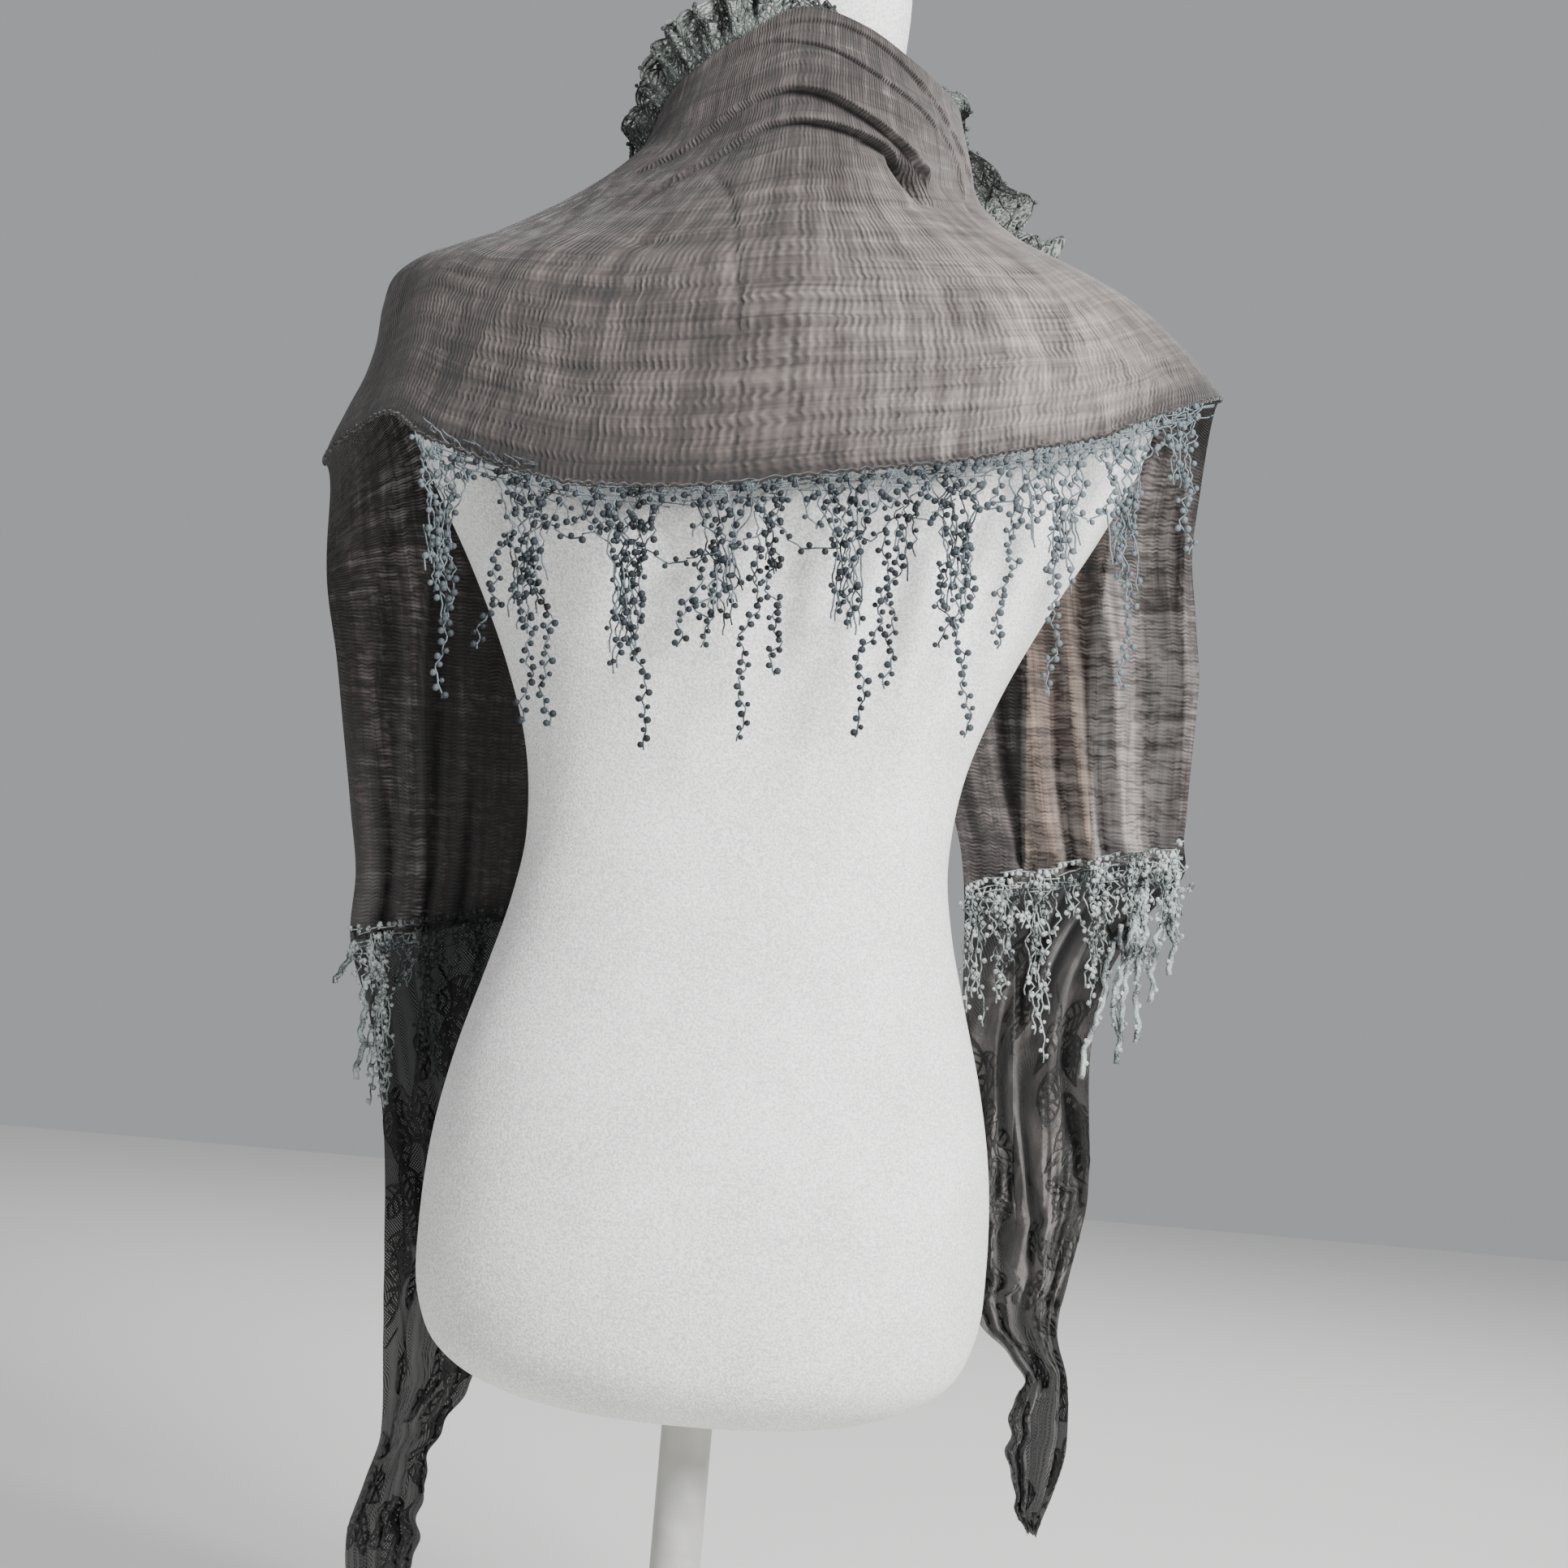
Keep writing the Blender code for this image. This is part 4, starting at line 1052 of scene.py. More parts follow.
def sprig_paths(start, angle, length, bend, leaves):
    """A stem that bends evenly, with leaves on both sides in turn and one at its end."""
    steps = np.linspace(0, 1, 24)
    heading = angle + bend * steps
    stem = start + np.cumsum(np.stack((np.cos(heading), np.sin(heading)), 1) * length / 24, axis=0)
    lines = [stem]
    for k, place in enumerate(leaves):
        side = 1 if k % 2 else -1
        lines += leaf_paths(stem[place], heading[place] + side * 0.75, 0.036 - 0.0015 * k, 0.0185)
    lines += leaf_paths(stem[-1], heading[-1], 0.030, 0.0165)
    return lines


def panel_paths(length, width, random):
    """Sprigs in staggered rows over the whole panel, every third one only a bare stem."""
    lines = []
    for row, middle in enumerate(np.arange(0.02, length - 0.02, 0.055)):
        offset = SPRIG_PITCH / 2 if row % 2 else 0.0
        for k, column in enumerate(np.arange(-width / 2 + offset, width / 2, SPRIG_PITCH)):
            angle = (0.5 if (row + k) % 2 else -0.5) + random.uniform(-0.3, 0.3)
            start = np.array((middle, column)) + random.uniform(-0.006, 0.006, 2)
            leaves = () if (row + 2 * k) % 3 == 0 else (6, 11, 16, 21)
            lines += sprig_paths(start, angle, random.uniform(0.060, 0.095), random.uniform(-0.9, 0.9), leaves)
    return lines


# %% Leaf mesh
# Viscose satin left by the burnout: denser and darker than the ground, with a dull thread sheen.
leaf_thread, tree, shader = new_material("viscose satin", Roughness=0.7, Sheen_Weight=0.2)
finish_surface(tree, shader, ramp(tree, solid_noise(tree, 500.0, 2.0), ((0.35, "#0d0c0c"), (0.65, "#232121"))))


def flat_row(end, down):
    """Row of the grid at a length down the flat end, and half the width of the cloth there."""
    row = down / end["length"] * (LACE_ROWS - 1)
    return row, np.interp(row, np.arange(LACE_ROWS), end["half"])


def on_panel(end, flat_points, lift):
    """Carries flat points onto the folded end, moved out by lift along the surface normal."""
    row, half = flat_row(end, flat_points[..., 0])
    over = sample(end["over"], row, (flat_points[..., 1] / half + 1) / 2 * (FLAT_STEPS - 1))
    column = over * (LACE_COLUMNS - 1)
    return sample(end["points"], row, column) + sample(end["normals"], row, column) * lift


for side, name in ((LEFT, "leaves_left"), (RIGHT, "leaves_right")):
    end = lace_ends[side]
    random = np.random.default_rng(40 + side)
    points = []
    quads = []
    total = 0
    for path in panel_paths(end["length"], end["width"], random):
        half = flat_row(end, path[:, 0])[1]
        inside = (np.abs(path[:, 1]) < half - 0.001) & (path[:, 0] > 0.001) & (path[:, 0] < end["length"] - 0.002)
        if inside.sum() < 3:
            continue
        strip = ribbon(path[inside], LEAF_LINE)
        for lift in (LEAF_LIFT, -LEAF_LIFT):
            placed = on_panel(end, strip, lift).reshape(-1, 3)
            faces = grid_faces(len(strip), 2) + total
            points.append(placed)
            quads.append(faces if lift > 0 else faces[:, ::-1])
            total += len(placed)
    leaves = mesh_object(name, np.concatenate(points), np.concatenate(quads))
    leaves.data.materials.append(leaf_thread)
    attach(leaves, "root")
    end["leaves"] = leaves
    print(name, len(leaves.data.polygons), "faces")

# %% [markdown]
# ## The vine and berry trim
# The trim is needle lace: a twisted thread that branches like a vine, with a small round berry on
# each short stalk. A vine is a thin tube along a path, and all berries share one small ball.

# %% Tubes and berries
VINE_RADIUS = 0.00050
TUBE_SIDES = 4
BERRY_RADIUS = 0.00190
STALK = 0.0020
STALK_RADIUS = 0.00035
STALK_POINTS = 8
BERRY_FORM = (1.0, 0.75, 1.0)
BERRY_PITCH = 0.0052
STEP = 0.0026


def tube(path, radius):
    """Rings of four points round a path in two directions square to it, with a quad at each end."""
    tangent = unit(np.gradient(path, axis=0))
    guide = np.where(np.abs(tangent[:, 1:2]) < 0.9, (0.0, 1.0, 0.0), (1.0, 0.0, 0.0))
    normal = unit(np.cross(tangent, guide))
    other = np.cross(tangent, normal)
    angle = angles_round(TUBE_SIDES)
    ring = np.cos(angle)[None, :, None] * normal[:, None] + np.sin(angle)[None, :, None] * other[:, None]
    points = path[:, None] + ring * radius
    last = (len(path) - 1) * TUBE_SIDES
    ends = np.array([[0, 1, 2, 3], [last + 3, last + 2, last + 1, last]])
    return points.reshape(-1, 3), np.concatenate((grid_faces(len(path), TUBE_SIDES, wrap=True)[:, ::-1], ends))


def ball(around=6, levels=4):
    """Unit ball of rings between two poles, with its faces pointing out."""
    polar = np.linspace(0, math.pi, levels + 1)[1:-1, None]
    angle = angles_round(around)
    rings = (np.sin(polar) * np.cos(angle), np.sin(polar) * np.sin(angle), np.cos(polar))
    points = np.vstack((np.stack(np.broadcast_arrays(*rings), -1).reshape(-1, 3), (0, 0, 1), (0, 0, -1)))
    quads = grid_faces(levels - 1, around, wrap=True)[:, ::-1]
    return points, quads, fan_caps(around, (levels - 2) * around, (levels - 1) * around)[:, ::-1]


BALL_POINTS, BALL_QUADS, BALL_TRIANGLES = ball()


class Trim:
    """Collects the vines and berries of one trim and joins them into one mesh."""

    def __init__(self, random, berry=BERRY_RADIUS, pitch=BERRY_PITCH):
        self.random = random
        self.berry = berry
        self.pitch = pitch
        self.points = []
        self.quads = []
        self.total = 0
        self.roots = []
        self.berries = []

    def vine(self, path, berried=1.0, radius=VINE_RADIUS, sides=2):
        """A tube along the path, with stalks and berries on both sides in turn, or on one."""
        points, quads = tube(path, radius)
        self.points.append(points)
        self.quads.append(quads + self.total)
        self.total += len(points)
        run = run_along(path)
        count = int(run[-1] / self.pitch * berried + 0.5)
        if count < 1:
            return
        places = (np.arange(count) + self.random.uniform(0.3, 0.7, count)) * run[-1] / count
        spots = point_at(places, run, path)
        ahead = point_at(np.minimum(places + 0.001, run[-1] + 1e-6), run, path) - spots
        ahead[:, 2] -= 1e-5
        aside = unit(np.stack((ahead[:, 2], np.zeros(count), -ahead[:, 0]), 1))
        turn = np.where(np.arange(count) % sides == 0, 1.0, -1.0) * self.random.uniform(0.8, 1.15, count)
        depth = self.random.uniform(-0.6, 0.1, count)
        out = aside * turn[:, None] + np.array((0, 1, -0.2)) * depth[:, None]
        self.roots.append(spots)
        self.berries.append(spots + out * STALK * self.berry / BERRY_RADIUS)

    def finish(self, name, material):
        """Puts a ball at every berry and a four-sided stalk from it to its vine, and makes the object."""
        roots = np.concatenate(self.roots)
        berries = np.concatenate(self.berries)
        count = len(berries)
        sizes = self.berry * self.random.uniform(0.80, 1.15, count)
        along = berries - roots
        first = np.cross(along, (0.2, 1.0, 0.3))
        first *= STALK_RADIUS / np.maximum(np.linalg.norm(first, axis=1, keepdims=True), 1e-9)
        second = np.cross(along, first)
        second *= STALK_RADIUS / np.maximum(np.linalg.norm(second, axis=1, keepdims=True), 1e-9)
        ring = np.stack((first, second, -first, -second), 1)
        stalks = np.concatenate((roots[:, None] + ring, berries[:, None] + ring), 1)
        stalk_quads = np.array([[k, 4 + k, 4 + (k + 1) % 4, (k + 1) % 4] for k in range(4)])
        balls = berries[:, None] + BALL_POINTS * (sizes[:, None, None] * np.array(BERRY_FORM))
        each = np.arange(count)[:, None, None]
        first_ball = self.total + STALK_POINTS * count
        stalk_quads = stalk_quads + self.total + STALK_POINTS * each
        ball_start = first_ball + len(BALL_POINTS) * each
        quads = np.concatenate((*self.quads, stalk_quads.reshape(-1, 4), (BALL_QUADS + ball_start).reshape(-1, 4)))
        triangles = (BALL_TRIANGLES + ball_start).reshape(-1, 3)
        points = np.concatenate((*self.points, stalks.reshape(-1, 3), balls.reshape(-1, 3)))
        made = mesh_object(name, points, quads, triangles)
        point_values(made, "berry", np.arange(len(points)) >= first_ball)
        made.data.materials.append(material)
        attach(made, "root")
        print(name, count, "berries,", len(quads) * 2 + len(triangles), "triangles")
        return made


def thread_material(name, dark, light, berry_dark, berry_light):
    """Mercerised cotton thread: a soft gloss, with a twist that darkens every turn of about 1 mm."""
    made, tree, shader = new_material(name, Roughness=0.55, Specular_IOR_Level=0.3)
    twist = solid_noise(tree, 900.0, 2.0)
    both = calc(tree, "MULTIPLY_ADD", twist, 0.7, solid_noise(tree, 70.0, 2.0))
    thread = ramp(tree, both, ((0.65, dark), (1.00, light)))
    knots = ramp(tree, both, ((0.65, berry_dark), (1.02, berry_light)))
    colour = mixed(tree, attribute(tree, "berry"), thread, knots)
    # Painted shade towards near black and painted light towards pale slate, each by a share set per point on a trim.
    for share, code in (("trim_shade", "#141516"), ("pale", "#7b868b")):
        colour = mixed(tree, attribute(tree, share), colour, linear(code))
    finish_surface(tree, shader, colour, twist, 0.8, 0.0008)
    return made


# One thread in three tones: painted shade on the back trim, seen against the lit form; painted light on the trims
# across the ends; deeper painted shade on the neck trim.
shaded_back_thread = thread_material("cotton thread, painted shade", "#1c2022", "#6a757a", "#090b0d", "#2c343a")
lit_end_thread = thread_material("cotton thread, painted light", "#343a3b", "#acb4b3", "#282d2e", "#b9c0be")
shaded_neck_thread = thread_material("cotton thread, deep painted shade", "#161919", "#5c625f", "#121414", "#585e5b")


def wiggly(start, end, random, sway=0.0022):
    """A path from start to end with a smooth random sideways sway that is nil at both ends."""
    length = np.linalg.norm(np.asarray(end) - start)
    steps = max(5, int(length / STEP))
    f = np.linspace(0, 1, steps)
    path = start + (np.asarray(end) - start) * f[:, None]
    for turns in (1.5, 3.5, length / 0.011):
        phase = random.uniform(0, 2 * math.pi, 2)
        size = sway * random.uniform(0.5, 1.0) / math.sqrt(turns + 0.5)
        path[:, 0] += size * np.sin(2 * math.pi * turns * f + phase[0]) * np.sin(math.pi * f) ** 0.5
        path[:, 1] += 0.5 * size * np.sin(2 * math.pi * turns * f + phase[1]) * np.sin(math.pi * f) ** 0.5
    return path


def bent(start, middle, end, random, first_sway, second_sway):
    """Two wiggly stretches joined at a middle point."""
    return np.concatenate((wiggly(start, middle, random, first_sway), wiggly(middle, end, random, second_sway)[1:]))


def settled(below):
    """How far a strand lies off its edge: 2 mm, reached 30 mm below it."""
    return 0.002 * min(below / 0.03, 1.0)


LEAN = 0.07


def bunch(trim, place, x, spread, length, vines, random):
    """Strings that start over a spread, draw together at half their length and end a little apart."""
    for k in range(vines):
        own = (k + 0.5) / vines * 2 - 1
        start = place(x + spread * (own + random.uniform(-0.1, 0.1)), 0.0)
        low = length * random.uniform(0.40, 0.55)
        waist = place(x, low) + (LEAN * low + 0.006 * own, random.uniform(-0.003, 0.002), 0)
        low = length * random.uniform(0.62, 1.0)
        end = place(x, low) + (LEAN * low + 0.009 * own, random.uniform(-0.003, 0.001), 0)
        path = bent(start, waist, end, random, 0.0035, 0.0022)
        trim.vine(path, random.uniform(0.35, 0.85) if k % 3 else 0.15)


# %% Trim across the back
LONG_STRANDS = metres(
    # x, tip_z
    (-170.5, 651), (-152.5, 680), (-121.9, 642), (-108, 640.5), (-54.9, 632), (-41.8, 690),
    (-28.2, 691), (-4.2, 641), (13.8, 679), (60.7, 649), (74.7, 677), (102.9, 702.5), (120.8, 654),
    (135, 705), (166.3, 681), (208.8, 689), (242, 770),
)
BUNCHES = (
    # x, spread, length, vines
    (-0.183, 0.016, 0.105, 8), (-0.134, 0.02, 0.1, 7), (-0.0768, 0.024, 0.105, 8),
    (-0.0227, 0.022, 0.085, 7), (0.0, 0.012, 0.065, 3), (0.044, 0.024, 0.095, 8),
    (0.076, 0.012, 0.07, 3), (0.105, 0.022, 0.1, 7), (0.14, 0.012, 0.06, 3), (0.1628, 0.018, 0.09, 7),
    (0.1981, 0.017, 0.1, 8), (0.23, 0.012, 0.06, 5),
)
GARLAND_PITCH = 0.0135
hem_turns = np.linspace(-0.985, 0.985, 900)
hem_line = back_point(hem_turns, np.ones_like(hem_turns))
hem_line = hem_line[np.argsort(hem_line[:, 0])]


def hem_at(x, below=0.0):
    """Point of the hem at a given x, or some way below it and then 2 mm further out."""
    return point_at(x, hem_line[:, 0], hem_line) - (0, 0.0005 + settled(below), below)


random = np.random.default_rng(7)
back_trim = Trim(random)
roots = np.arange(-0.200, 0.2505, GARLAND_PITCH)
joints = [hem_at(x + GARLAND_PITCH / 2, 0.008 + 0.010 * random.random()) for x in roots[:-1]]
lower = [hem_at(x + GARLAND_PITCH, 0.022 + 0.010 * random.random()) for x in roots[:-2]]
for k, joint in enumerate(joints):
    for root in (roots[k], roots[k + 1]):
        back_trim.vine(wiggly(hem_at(root), joint, random, 0.0015), 0.5)
for k, joint in enumerate(lower):
    for above in (joints[k], joints[k + 1]):
        if random.random() < 0.48:
            back_trim.vine(wiggly(above, joint, random, 0.002), 0.7)
for x, spread, length, vines in BUNCHES:
    bunch(back_trim, hem_at, x, spread, length, vines, random)
for x, tip in LONG_STRANDS:
    near = min(BUNCHES, key=lambda row: abs(row[0] - x))
    start = hem_at(near[0] + (x - near[0]) * 0.4, 0.035)
    back_trim.vine(wiggly(start, np.array((x, start[1], tip)), random, 0.006), 1.15)
for first, second in zip(BUNCHES[1:-2], BUNCHES[2:-1]):
    start = hem_at(first[0], random.uniform(0.015, 0.035))
    end = hem_at(second[0], random.uniform(0.020, 0.045))
    middle = (start + end) / 2 - (0, 0, random.uniform(0.004, 0.016))
    back_trim.vine(bent(start, middle, end, random, 0.003, 0.003), 0.8)
for x, spread, length, vines in BUNCHES[:-1]:
    start = hem_at(x + random.uniform(-0.5, 0.5) * spread, length * random.uniform(0.3, 0.5))
    end = start + (random.uniform(0.003, 0.010), -0.002, -random.uniform(0.018, 0.034))
    back_trim.vine(wiggly(start, end, random, 0.0006), 0.0)
for x in np.arange(-0.196, -0.132, 0.006):
    start = hem_at(x, -random.uniform(0.003, 0.010)) - (0, 0.0022, 0)
    end = hem_at(x + random.uniform(0.006, 0.014), -random.uniform(0.0, 0.008)) - (0, 0.0022, 0)
    back_trim.vine(wiggly(start, end, random, 0.0015), 0.0, 0.00035)
for level in (0.0015, 0.0045, 0.0080):
    for x in np.arange(-0.190, 0.236, 0.016):
        end = hem_at(x + 0.026, level + random.uniform(-0.002, 0.004))
        back_trim.vine(wiggly(hem_at(x, level), end, random, 0.0035), 0.0, 0.00040)
fringe_back = back_trim.finish("vines_back", shaded_back_thread)
# Painted light: the back trim turns paler towards both its ends.
x = point_x(fringe_back)
point_values(fringe_back, "pale", 0.6 * (smooth_step(-x, 0.160, 0.190) + smooth_step(x, 0.080, 0.200)))
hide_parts("fringe_back")

# %% Hem roll
# The cut edge is rolled and overcast: a cord 2.2 mm thick along the hem, of the gauze itself.
ROLL_RADIUS = 0.0011
ROLL_SIDE = 0.0018
fine_turns = np.linspace(-1, 1, 700)
roll_path = back_point(fine_turns, np.full_like(fine_turns, 0.998))
roll_path[:, 2] += 0.0006 * np.sin(400 * fine_turns) + 0.0004 * np.sin(271 * fine_turns)
roll_uv = np.stack(np.broadcast_arrays(fine_turns[:, None] * BACK_LENGTH / 2, np.arange(TUBE_SIDES) * ROLL_SIDE), -1)
hem_roll = mesh_object("hem_roll", *tube(roll_path, ROLL_RADIUS), uv=roll_uv)
point_values(hem_roll, "near", np.zeros(len(hem_roll.data.vertices)))
point_values(hem_roll, "hem", np.full(len(hem_roll.data.vertices), 0.9))
hem_roll.data.materials.append(gauze_cloth)
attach(hem_roll, "root")

# %% Trim across both ends
CROSS_BUNCHES = {
    # share of the width, spread, length, vines
    LEFT: (
        (0.04, 0.04, 0.07, 4), (0.22, 0.07, 0.1, 6), (0.45, 0.08, 0.085, 6), (0.66, 0.07, 0.105, 6),
        (0.86, 0.06, 0.11, 8),
    ),
    RIGHT: (
        (0.05, 0.04, 0.09, 5), (0.2, 0.05, 0.08, 5), (0.36, 0.05, 0.118, 6), (0.62, 0.06, 0.098, 6),
        (0.8, 0.05, 0.078, 7), (0.93, 0.05, 0.062, 9),
    ),
}
CORDS = {
    # share of the width, start below the seam, drop, lean outwards
    LEFT: (
        (0.9, 0.006, 0.084, 0.002), (0.97, 0.004, 0.026, 0.01),
    ),
    RIGHT: (
        (0.72, 0.05, 0.085, -0.014), (0.74, 0.04, 0.085, 0.004), (0.82, 0.02, 0.088, -0.006),
        (0.84, 0.015, 0.1, 0.001), (0.94, 0.01, 0.083, -0.006), (0.82, 0.03, 0.064, -0.012),
        (0.97, 0.006, 0.07, 0.001), (0.98, 0.026, -0.006, 0.009),
    ),
}
CORD_RADIUS = 0.0018
CROSS_GAP = 0.0022
for side, name, node in ((LEFT, "vines_left", "fringe_left"), (RIGHT, "vines_right", "fringe_right")):
    random = np.random.default_rng(20 + side)
    table = TAILS[side]["table"]
    trim = Trim(random, 0.0016, 0.0040)

    def cross_at(over, below):
        """A point of the band: in front of the pleats at a share of the width, some way below the seam."""
        over = min(max(over, 0.005), 0.995)
        z = float(seam_height(side, over)) + 0.004
        inner, outer = (float(curve(z, table, column)) for column in (1, 2))
        x = inner + (outer - inner) * over
        return np.array((side * x, float(hang_depth(x, z)) - CROSS_GAP - settled(below), z - below))

    for level in (-0.003, 0.003, 0.007, 0.012):
        for over in np.arange(0.01, 0.95, 0.085):
            start = cross_at(over, level + random.uniform(-0.0015, 0.0015))
            end = cross_at(over + 0.105, level + random.uniform(-0.002, 0.004))
            trim.vine(wiggly(start, end, random, 0.0022), 0.9 if level < 0 else 0.1, sides=1 if level < 0 else 2)
    for over in np.arange(0.02, 0.99, 0.030):
        start = cross_at(over, 0.004)
        end = cross_at(over + random.uniform(-0.05, 0.05), random.uniform(0.018, 0.042))
        trim.vine(wiggly(start, end, random, 0.003), 0.35)
    for over, spread, length, vines in CROSS_BUNCHES[side]:
        bunch(trim, cross_at, over, spread, length, vines, random)
    for over in (0.30, 0.52, 0.74):
        start = cross_at(over, 0.022)
        trim.vine(wiggly(start, cross_at(over + 0.13, 0.060), random, 0.003), 0.9)
    for over, low, drop, outwards in CORDS[side]:
        start = cross_at(over, low)
        end = start + (side * outwards, -0.003, -drop)
        trim.vine(wiggly(start, end, random, 0.0030), 0.25, CORD_RADIUS)
    piece = trim.finish(name, lit_end_thread)
    if side == LEFT:
        # Painted shade: the whole left trim a little darker, and much darker over the inner panel, which hangs in
        # shade.
        point_values(piece, "trim_shade", 0.2 + 0.7 * smooth_step(point_x(piece), -0.196, -0.190))
    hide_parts(node)

# %% [markdown]
# ## The crumpled neck trim
# The same lace runs along the neck edge. On the shoulders it falls outwards in a crumpled ruffle,
# and behind the neck it turns in, between the collar and the form.

# %% Neck trim band
NECK_TRIM = (
    # turn, lean_deg, width
    (-1.1, 10.0, 0.006), (-1.04, 25.0, 0.013), (-1.0, 42.0, 0.02), (-0.9, 48.0, 0.018),
    (-0.8, 52.0, 0.019), (-0.7, 54.0, 0.024), (-0.6, 56.0, 0.027), (-0.45, 60.0, 0.028),
    (-0.28, 72.0, 0.03), (-0.1, 100.0, 0.026), (0.1, 165.0, 0.016), (0.35, 205.0, 0.016),
    (0.65, 190.0, 0.016), (0.82, 120.0, 0.01), (1.0, -40.0, 0.004), (1.05, -26.0, 0.014),
    (1.1, -14.0, 0.042), (1.15, -2.0, 0.062), (1.2, 3.0, 0.074), (1.24, -4.0, 0.06),
    (1.28, -16.0, 0.04), (1.32, -24.0, 0.018),
)
NECK_WAVES = 17


def neck_trim_point(turn, out):
    """Edge point plus out * width along a direction that leans from outward (0 deg) to upward (90 deg)."""
    nil = np.zeros_like(turn)
    edge = back_point(np.clip(turn, -1, 1), nil)
    for side in (LEFT, RIGHT):
        beyond = side * turn - 1
        edge = np.where((beyond > 0)[..., None], fall_point(side, np.clip(beyond, 0, 1), nil), edge)
    lean = np.radians(curve(turn, NECK_TRIM, 1))
    width = curve(turn, NECK_TRIM, 2)
    level = edge * (1.0, 1.0, 0.0)
    level[..., 1] *= np.where(level[..., 1] > 0, 0.35, 1.0)
    level = unit(level)
    up = np.array((0.0, 0.0, 1.0))
    spread = level * np.cos(lean)[..., None] + up * np.sin(lean)[..., None]
    lift = up * np.cos(lean)[..., None] - level * np.sin(lean)[..., None]
    crumple = np.sin(NECK_WAVES * math.pi * turn) + 0.6 * np.sin(41 * math.pi * turn + 3 * out)
    wave = (0.0055 * np.minimum(width / 0.03, 1) + 0.0060 * smooth_step(width, 0.035, 0.070)) * out * crumple
    width = width * (1 + 0.12 * np.sin(53 * turn) + 0.08 * np.sin(131 * turn))
    inside = 0.003 * smooth_step(lean, math.radians(70), math.radians(115))
    above = 0.003 * (1 - smooth_step(lean, 0, math.radians(45)))
    root = edge - level * inside[..., None] + up * above[..., None]
    return root + spread * (width * out)[..., None] + lift * wave[..., None]


NET_PITCH_MM = 2.4
lace_net, tree, shader = new_material("crumpled needle lace", Roughness=0.75, Sheen_Weight=0.1)
flat = add(tree, "ShaderNodeUVMap", uv_map="cloth").outputs["UV"]
cells = add(
    tree, "ShaderNodeTexVoronoi", {"Vector": flat, "Scale": 1000 / NET_PITCH_MM}, feature="DISTANCE_TO_EDGE"
).outputs["Distance"]
thread = remap(tree, cells, 0.10, 0.20, 1.0, 0.0)
clump = stretched(tree, flat, 9.0, 6.0, 3.0, 0.6)
dense = remap(tree, clump, 0.46, 0.52, 0.0, 1.0)
tree.links.new(calc(tree, "MAXIMUM", thread, dense), shader.inputs["Alpha"])
fleck = stretched(tree, flat, 1.3, 1.3, 2.0, 0.5)
body = calc(tree, "MULTIPLY_ADD", thread, 0.25, calc(tree, "MULTIPLY_ADD", clump, 0.5, fleck))
tone = ramp(tree, body, ((0.60, "#1b1e1d"), (0.78, "#3a3e3c"), (0.92, "#5e6360"), (1.0, "#8c918c")))
finish_surface(tree, shader, tone, body, 0.9, 0.0014)

BAND_STEPS = 480
BAND_ROWS = 20
low_turn, high_turn = NECK_TRIM[0][0], NECK_TRIM[-1][0]
band_turns, band_outs = np.meshgrid(
    np.linspace(low_turn, high_turn, BAND_STEPS), np.linspace(0, 1, BAND_ROWS), indexing="ij"
)
band_points = neck_trim_point(band_turns, band_outs)
band_run = run_along(band_points[:, BAND_ROWS // 2])[:, None]
band_uv = np.stack(np.broadcast_arrays(band_run, band_outs * curve(band_turns, NECK_TRIM, 2)), -1)
neck_band = mesh_object("neck_lace", band_points, grid_faces(*band_outs.shape), uv=band_uv)
neck_band.data.materials.append(lace_net)
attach(neck_band, "root")

random = np.random.default_rng(11)
neck_trim = Trim(random, 0.0014)
for level, berried in ((0.02, 0.0), (0.30, 0.1), (0.55, 0.0), (0.80, 0.15), (0.97, 0.35)):
    turns = np.linspace(low_turn, high_turn, 330)
    outs = level + 0.05 * np.sin(95 * turns + 9 * level) + 0.02 * np.sin(171 * turns)
    neck_trim.vine(neck_trim_point(turns, np.clip(outs, 0, 1)), berried)
for slant in (-0.075, 0.075):
    for turn in np.arange(low_turn, high_turn, 0.024):
        f = np.linspace(0, 1, 14)
        turns = np.clip(turn + slant * f + 0.006 * np.sin(4 * math.pi * f + turn * 40), low_turn, high_turn)
        neck_trim.vine(neck_trim_point(turns, f * random.uniform(0.84, 1.0)), 0.10, 0.00055)
neck_piece = neck_trim.finish("vines_neck", shaded_neck_thread)
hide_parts("neck_trim")

# %% [markdown]
# ## The sheets
# The gauze is one strip. Each lace end is a piece of its own, gathered towards its tip. The loop below only looks up
# each end.

# %% Sheets
for side in (LEFT, RIGHT):
    end = lace_ends[side]

# %% [markdown]
# ## Floor, light and camera
# A pale floor and three large soft lights, as in a small product studio. The photograph was taken
# from straight behind, with the camera rolled by five degrees.

# %% Floor
FLOOR_SIZE = 6.0
FLOOR_GAP = 0.0005
floor_finish, tree, shader = new_material("matt studio floor", Roughness=0.85)
shader.inputs["Base Color"].default_value = linear("#dcdcda")
floor_points = np.array([(-1, -1, 0), (1, -1, 0), (1, 1, 0), (-1, 1, 0)]) * FLOOR_SIZE / 2 - (0, 0, FLOOR_GAP)
floor = mesh_object("studio_floor", floor_points, [[0, 1, 2, 3]], smooth=False)
floor.data.materials.append(floor_finish)

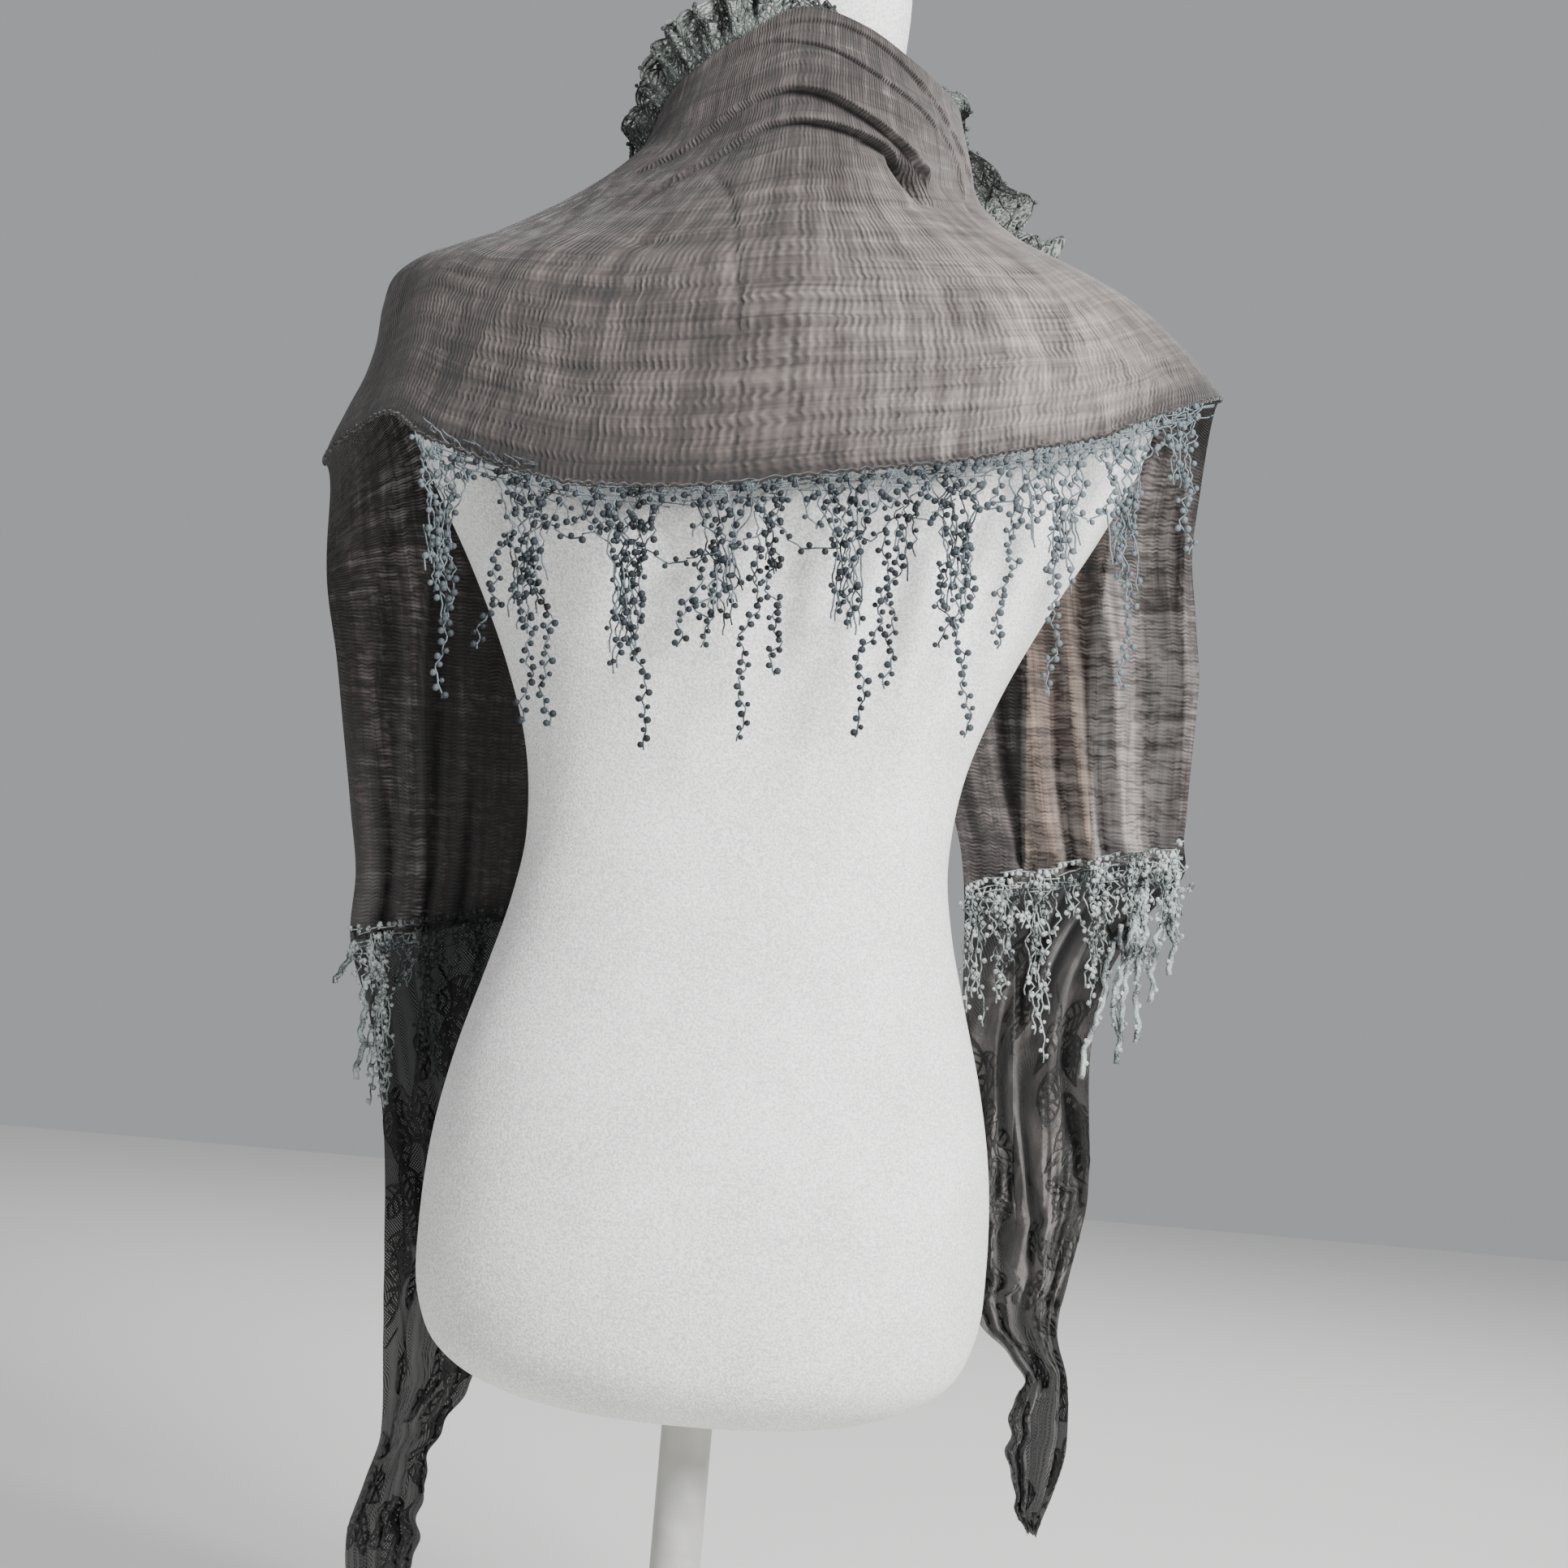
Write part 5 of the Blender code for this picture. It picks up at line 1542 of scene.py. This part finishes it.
# %% Lights
SKY_STRENGTH = 0.46
LIGHTS = (
    # name, place, aim, size, watts
    ("key", (1.5, -1.8, 1.9), (0.0, 0.0, 0.7), 0.9, 175.0),
    ("fill", (-1.8, -1.5, 1.2), (0.0, 0.0, 0.6), 1.4, 5.0),
    ("back", (0.3, 1.8, 1.9), (0.0, 0.0, 0.7), 1.3, 36.0),
)


def look_at(place, aim):
    """Matrix at place whose -Z points at aim and whose X is level."""
    back = unit(np.array(place, float) - aim)
    right = unit(np.cross((0, 0, 1), back))
    rotation = Matrix(np.stack((right, np.cross(back, right), back), 1).tolist()).to_4x4()
    return Matrix.Translation(place) @ rotation


for name, place, aim, size, watts in LIGHTS:
    lamp = bpy.data.lights.new(name, "AREA")
    lamp.shape = "DISK"
    lamp.size = size
    lamp.energy = watts
    holder = bpy.data.objects.new(name, lamp)
    holder.matrix_world = look_at(place, aim)
    bpy.context.scene.collection.objects.link(holder)

world = bpy.data.worlds.new("studio")
world.use_nodes = True
sky = world.node_tree.nodes["Background"].inputs
sky["Color"].default_value = linear("#e6e8ea")
sky["Strength"].default_value = SKY_STRENGTH
bpy.context.scene.world = world

# %% Camera
CAMERA_DISTANCE = 1.9
CAMERA_AIM = (0.024, 0.620)
CAMERA_ROLL = math.radians(5.0)
SENSOR_WIDTH_MM = 36.0
FRAME_PIXELS = 1932
METRES_PER_PIXEL = 0.000479

camera_data = bpy.data.cameras.new("camera")
camera_data.sensor_fit = "HORIZONTAL"
camera_data.sensor_width = SENSOR_WIDTH_MM
camera_data.lens = SENSOR_WIDTH_MM * CAMERA_DISTANCE / (FRAME_PIXELS * METRES_PER_PIXEL)
camera = bpy.data.objects.new("camera", camera_data)
sine = math.sin(CAMERA_ROLL)
cosine = math.cos(CAMERA_ROLL)
camera.matrix_world = Matrix(
    (
        (cosine, -sine, 0, CAMERA_AIM[0]),
        (0, 0, -1, -CAMERA_DISTANCE),
        (sine, cosine, 0, CAMERA_AIM[1]),
        (0, 0, 0, 1),
    )
)
bpy.context.scene.collection.objects.link(camera)
bpy.context.scene.camera = camera
print("lens", round(camera_data.lens, 2), "mm")
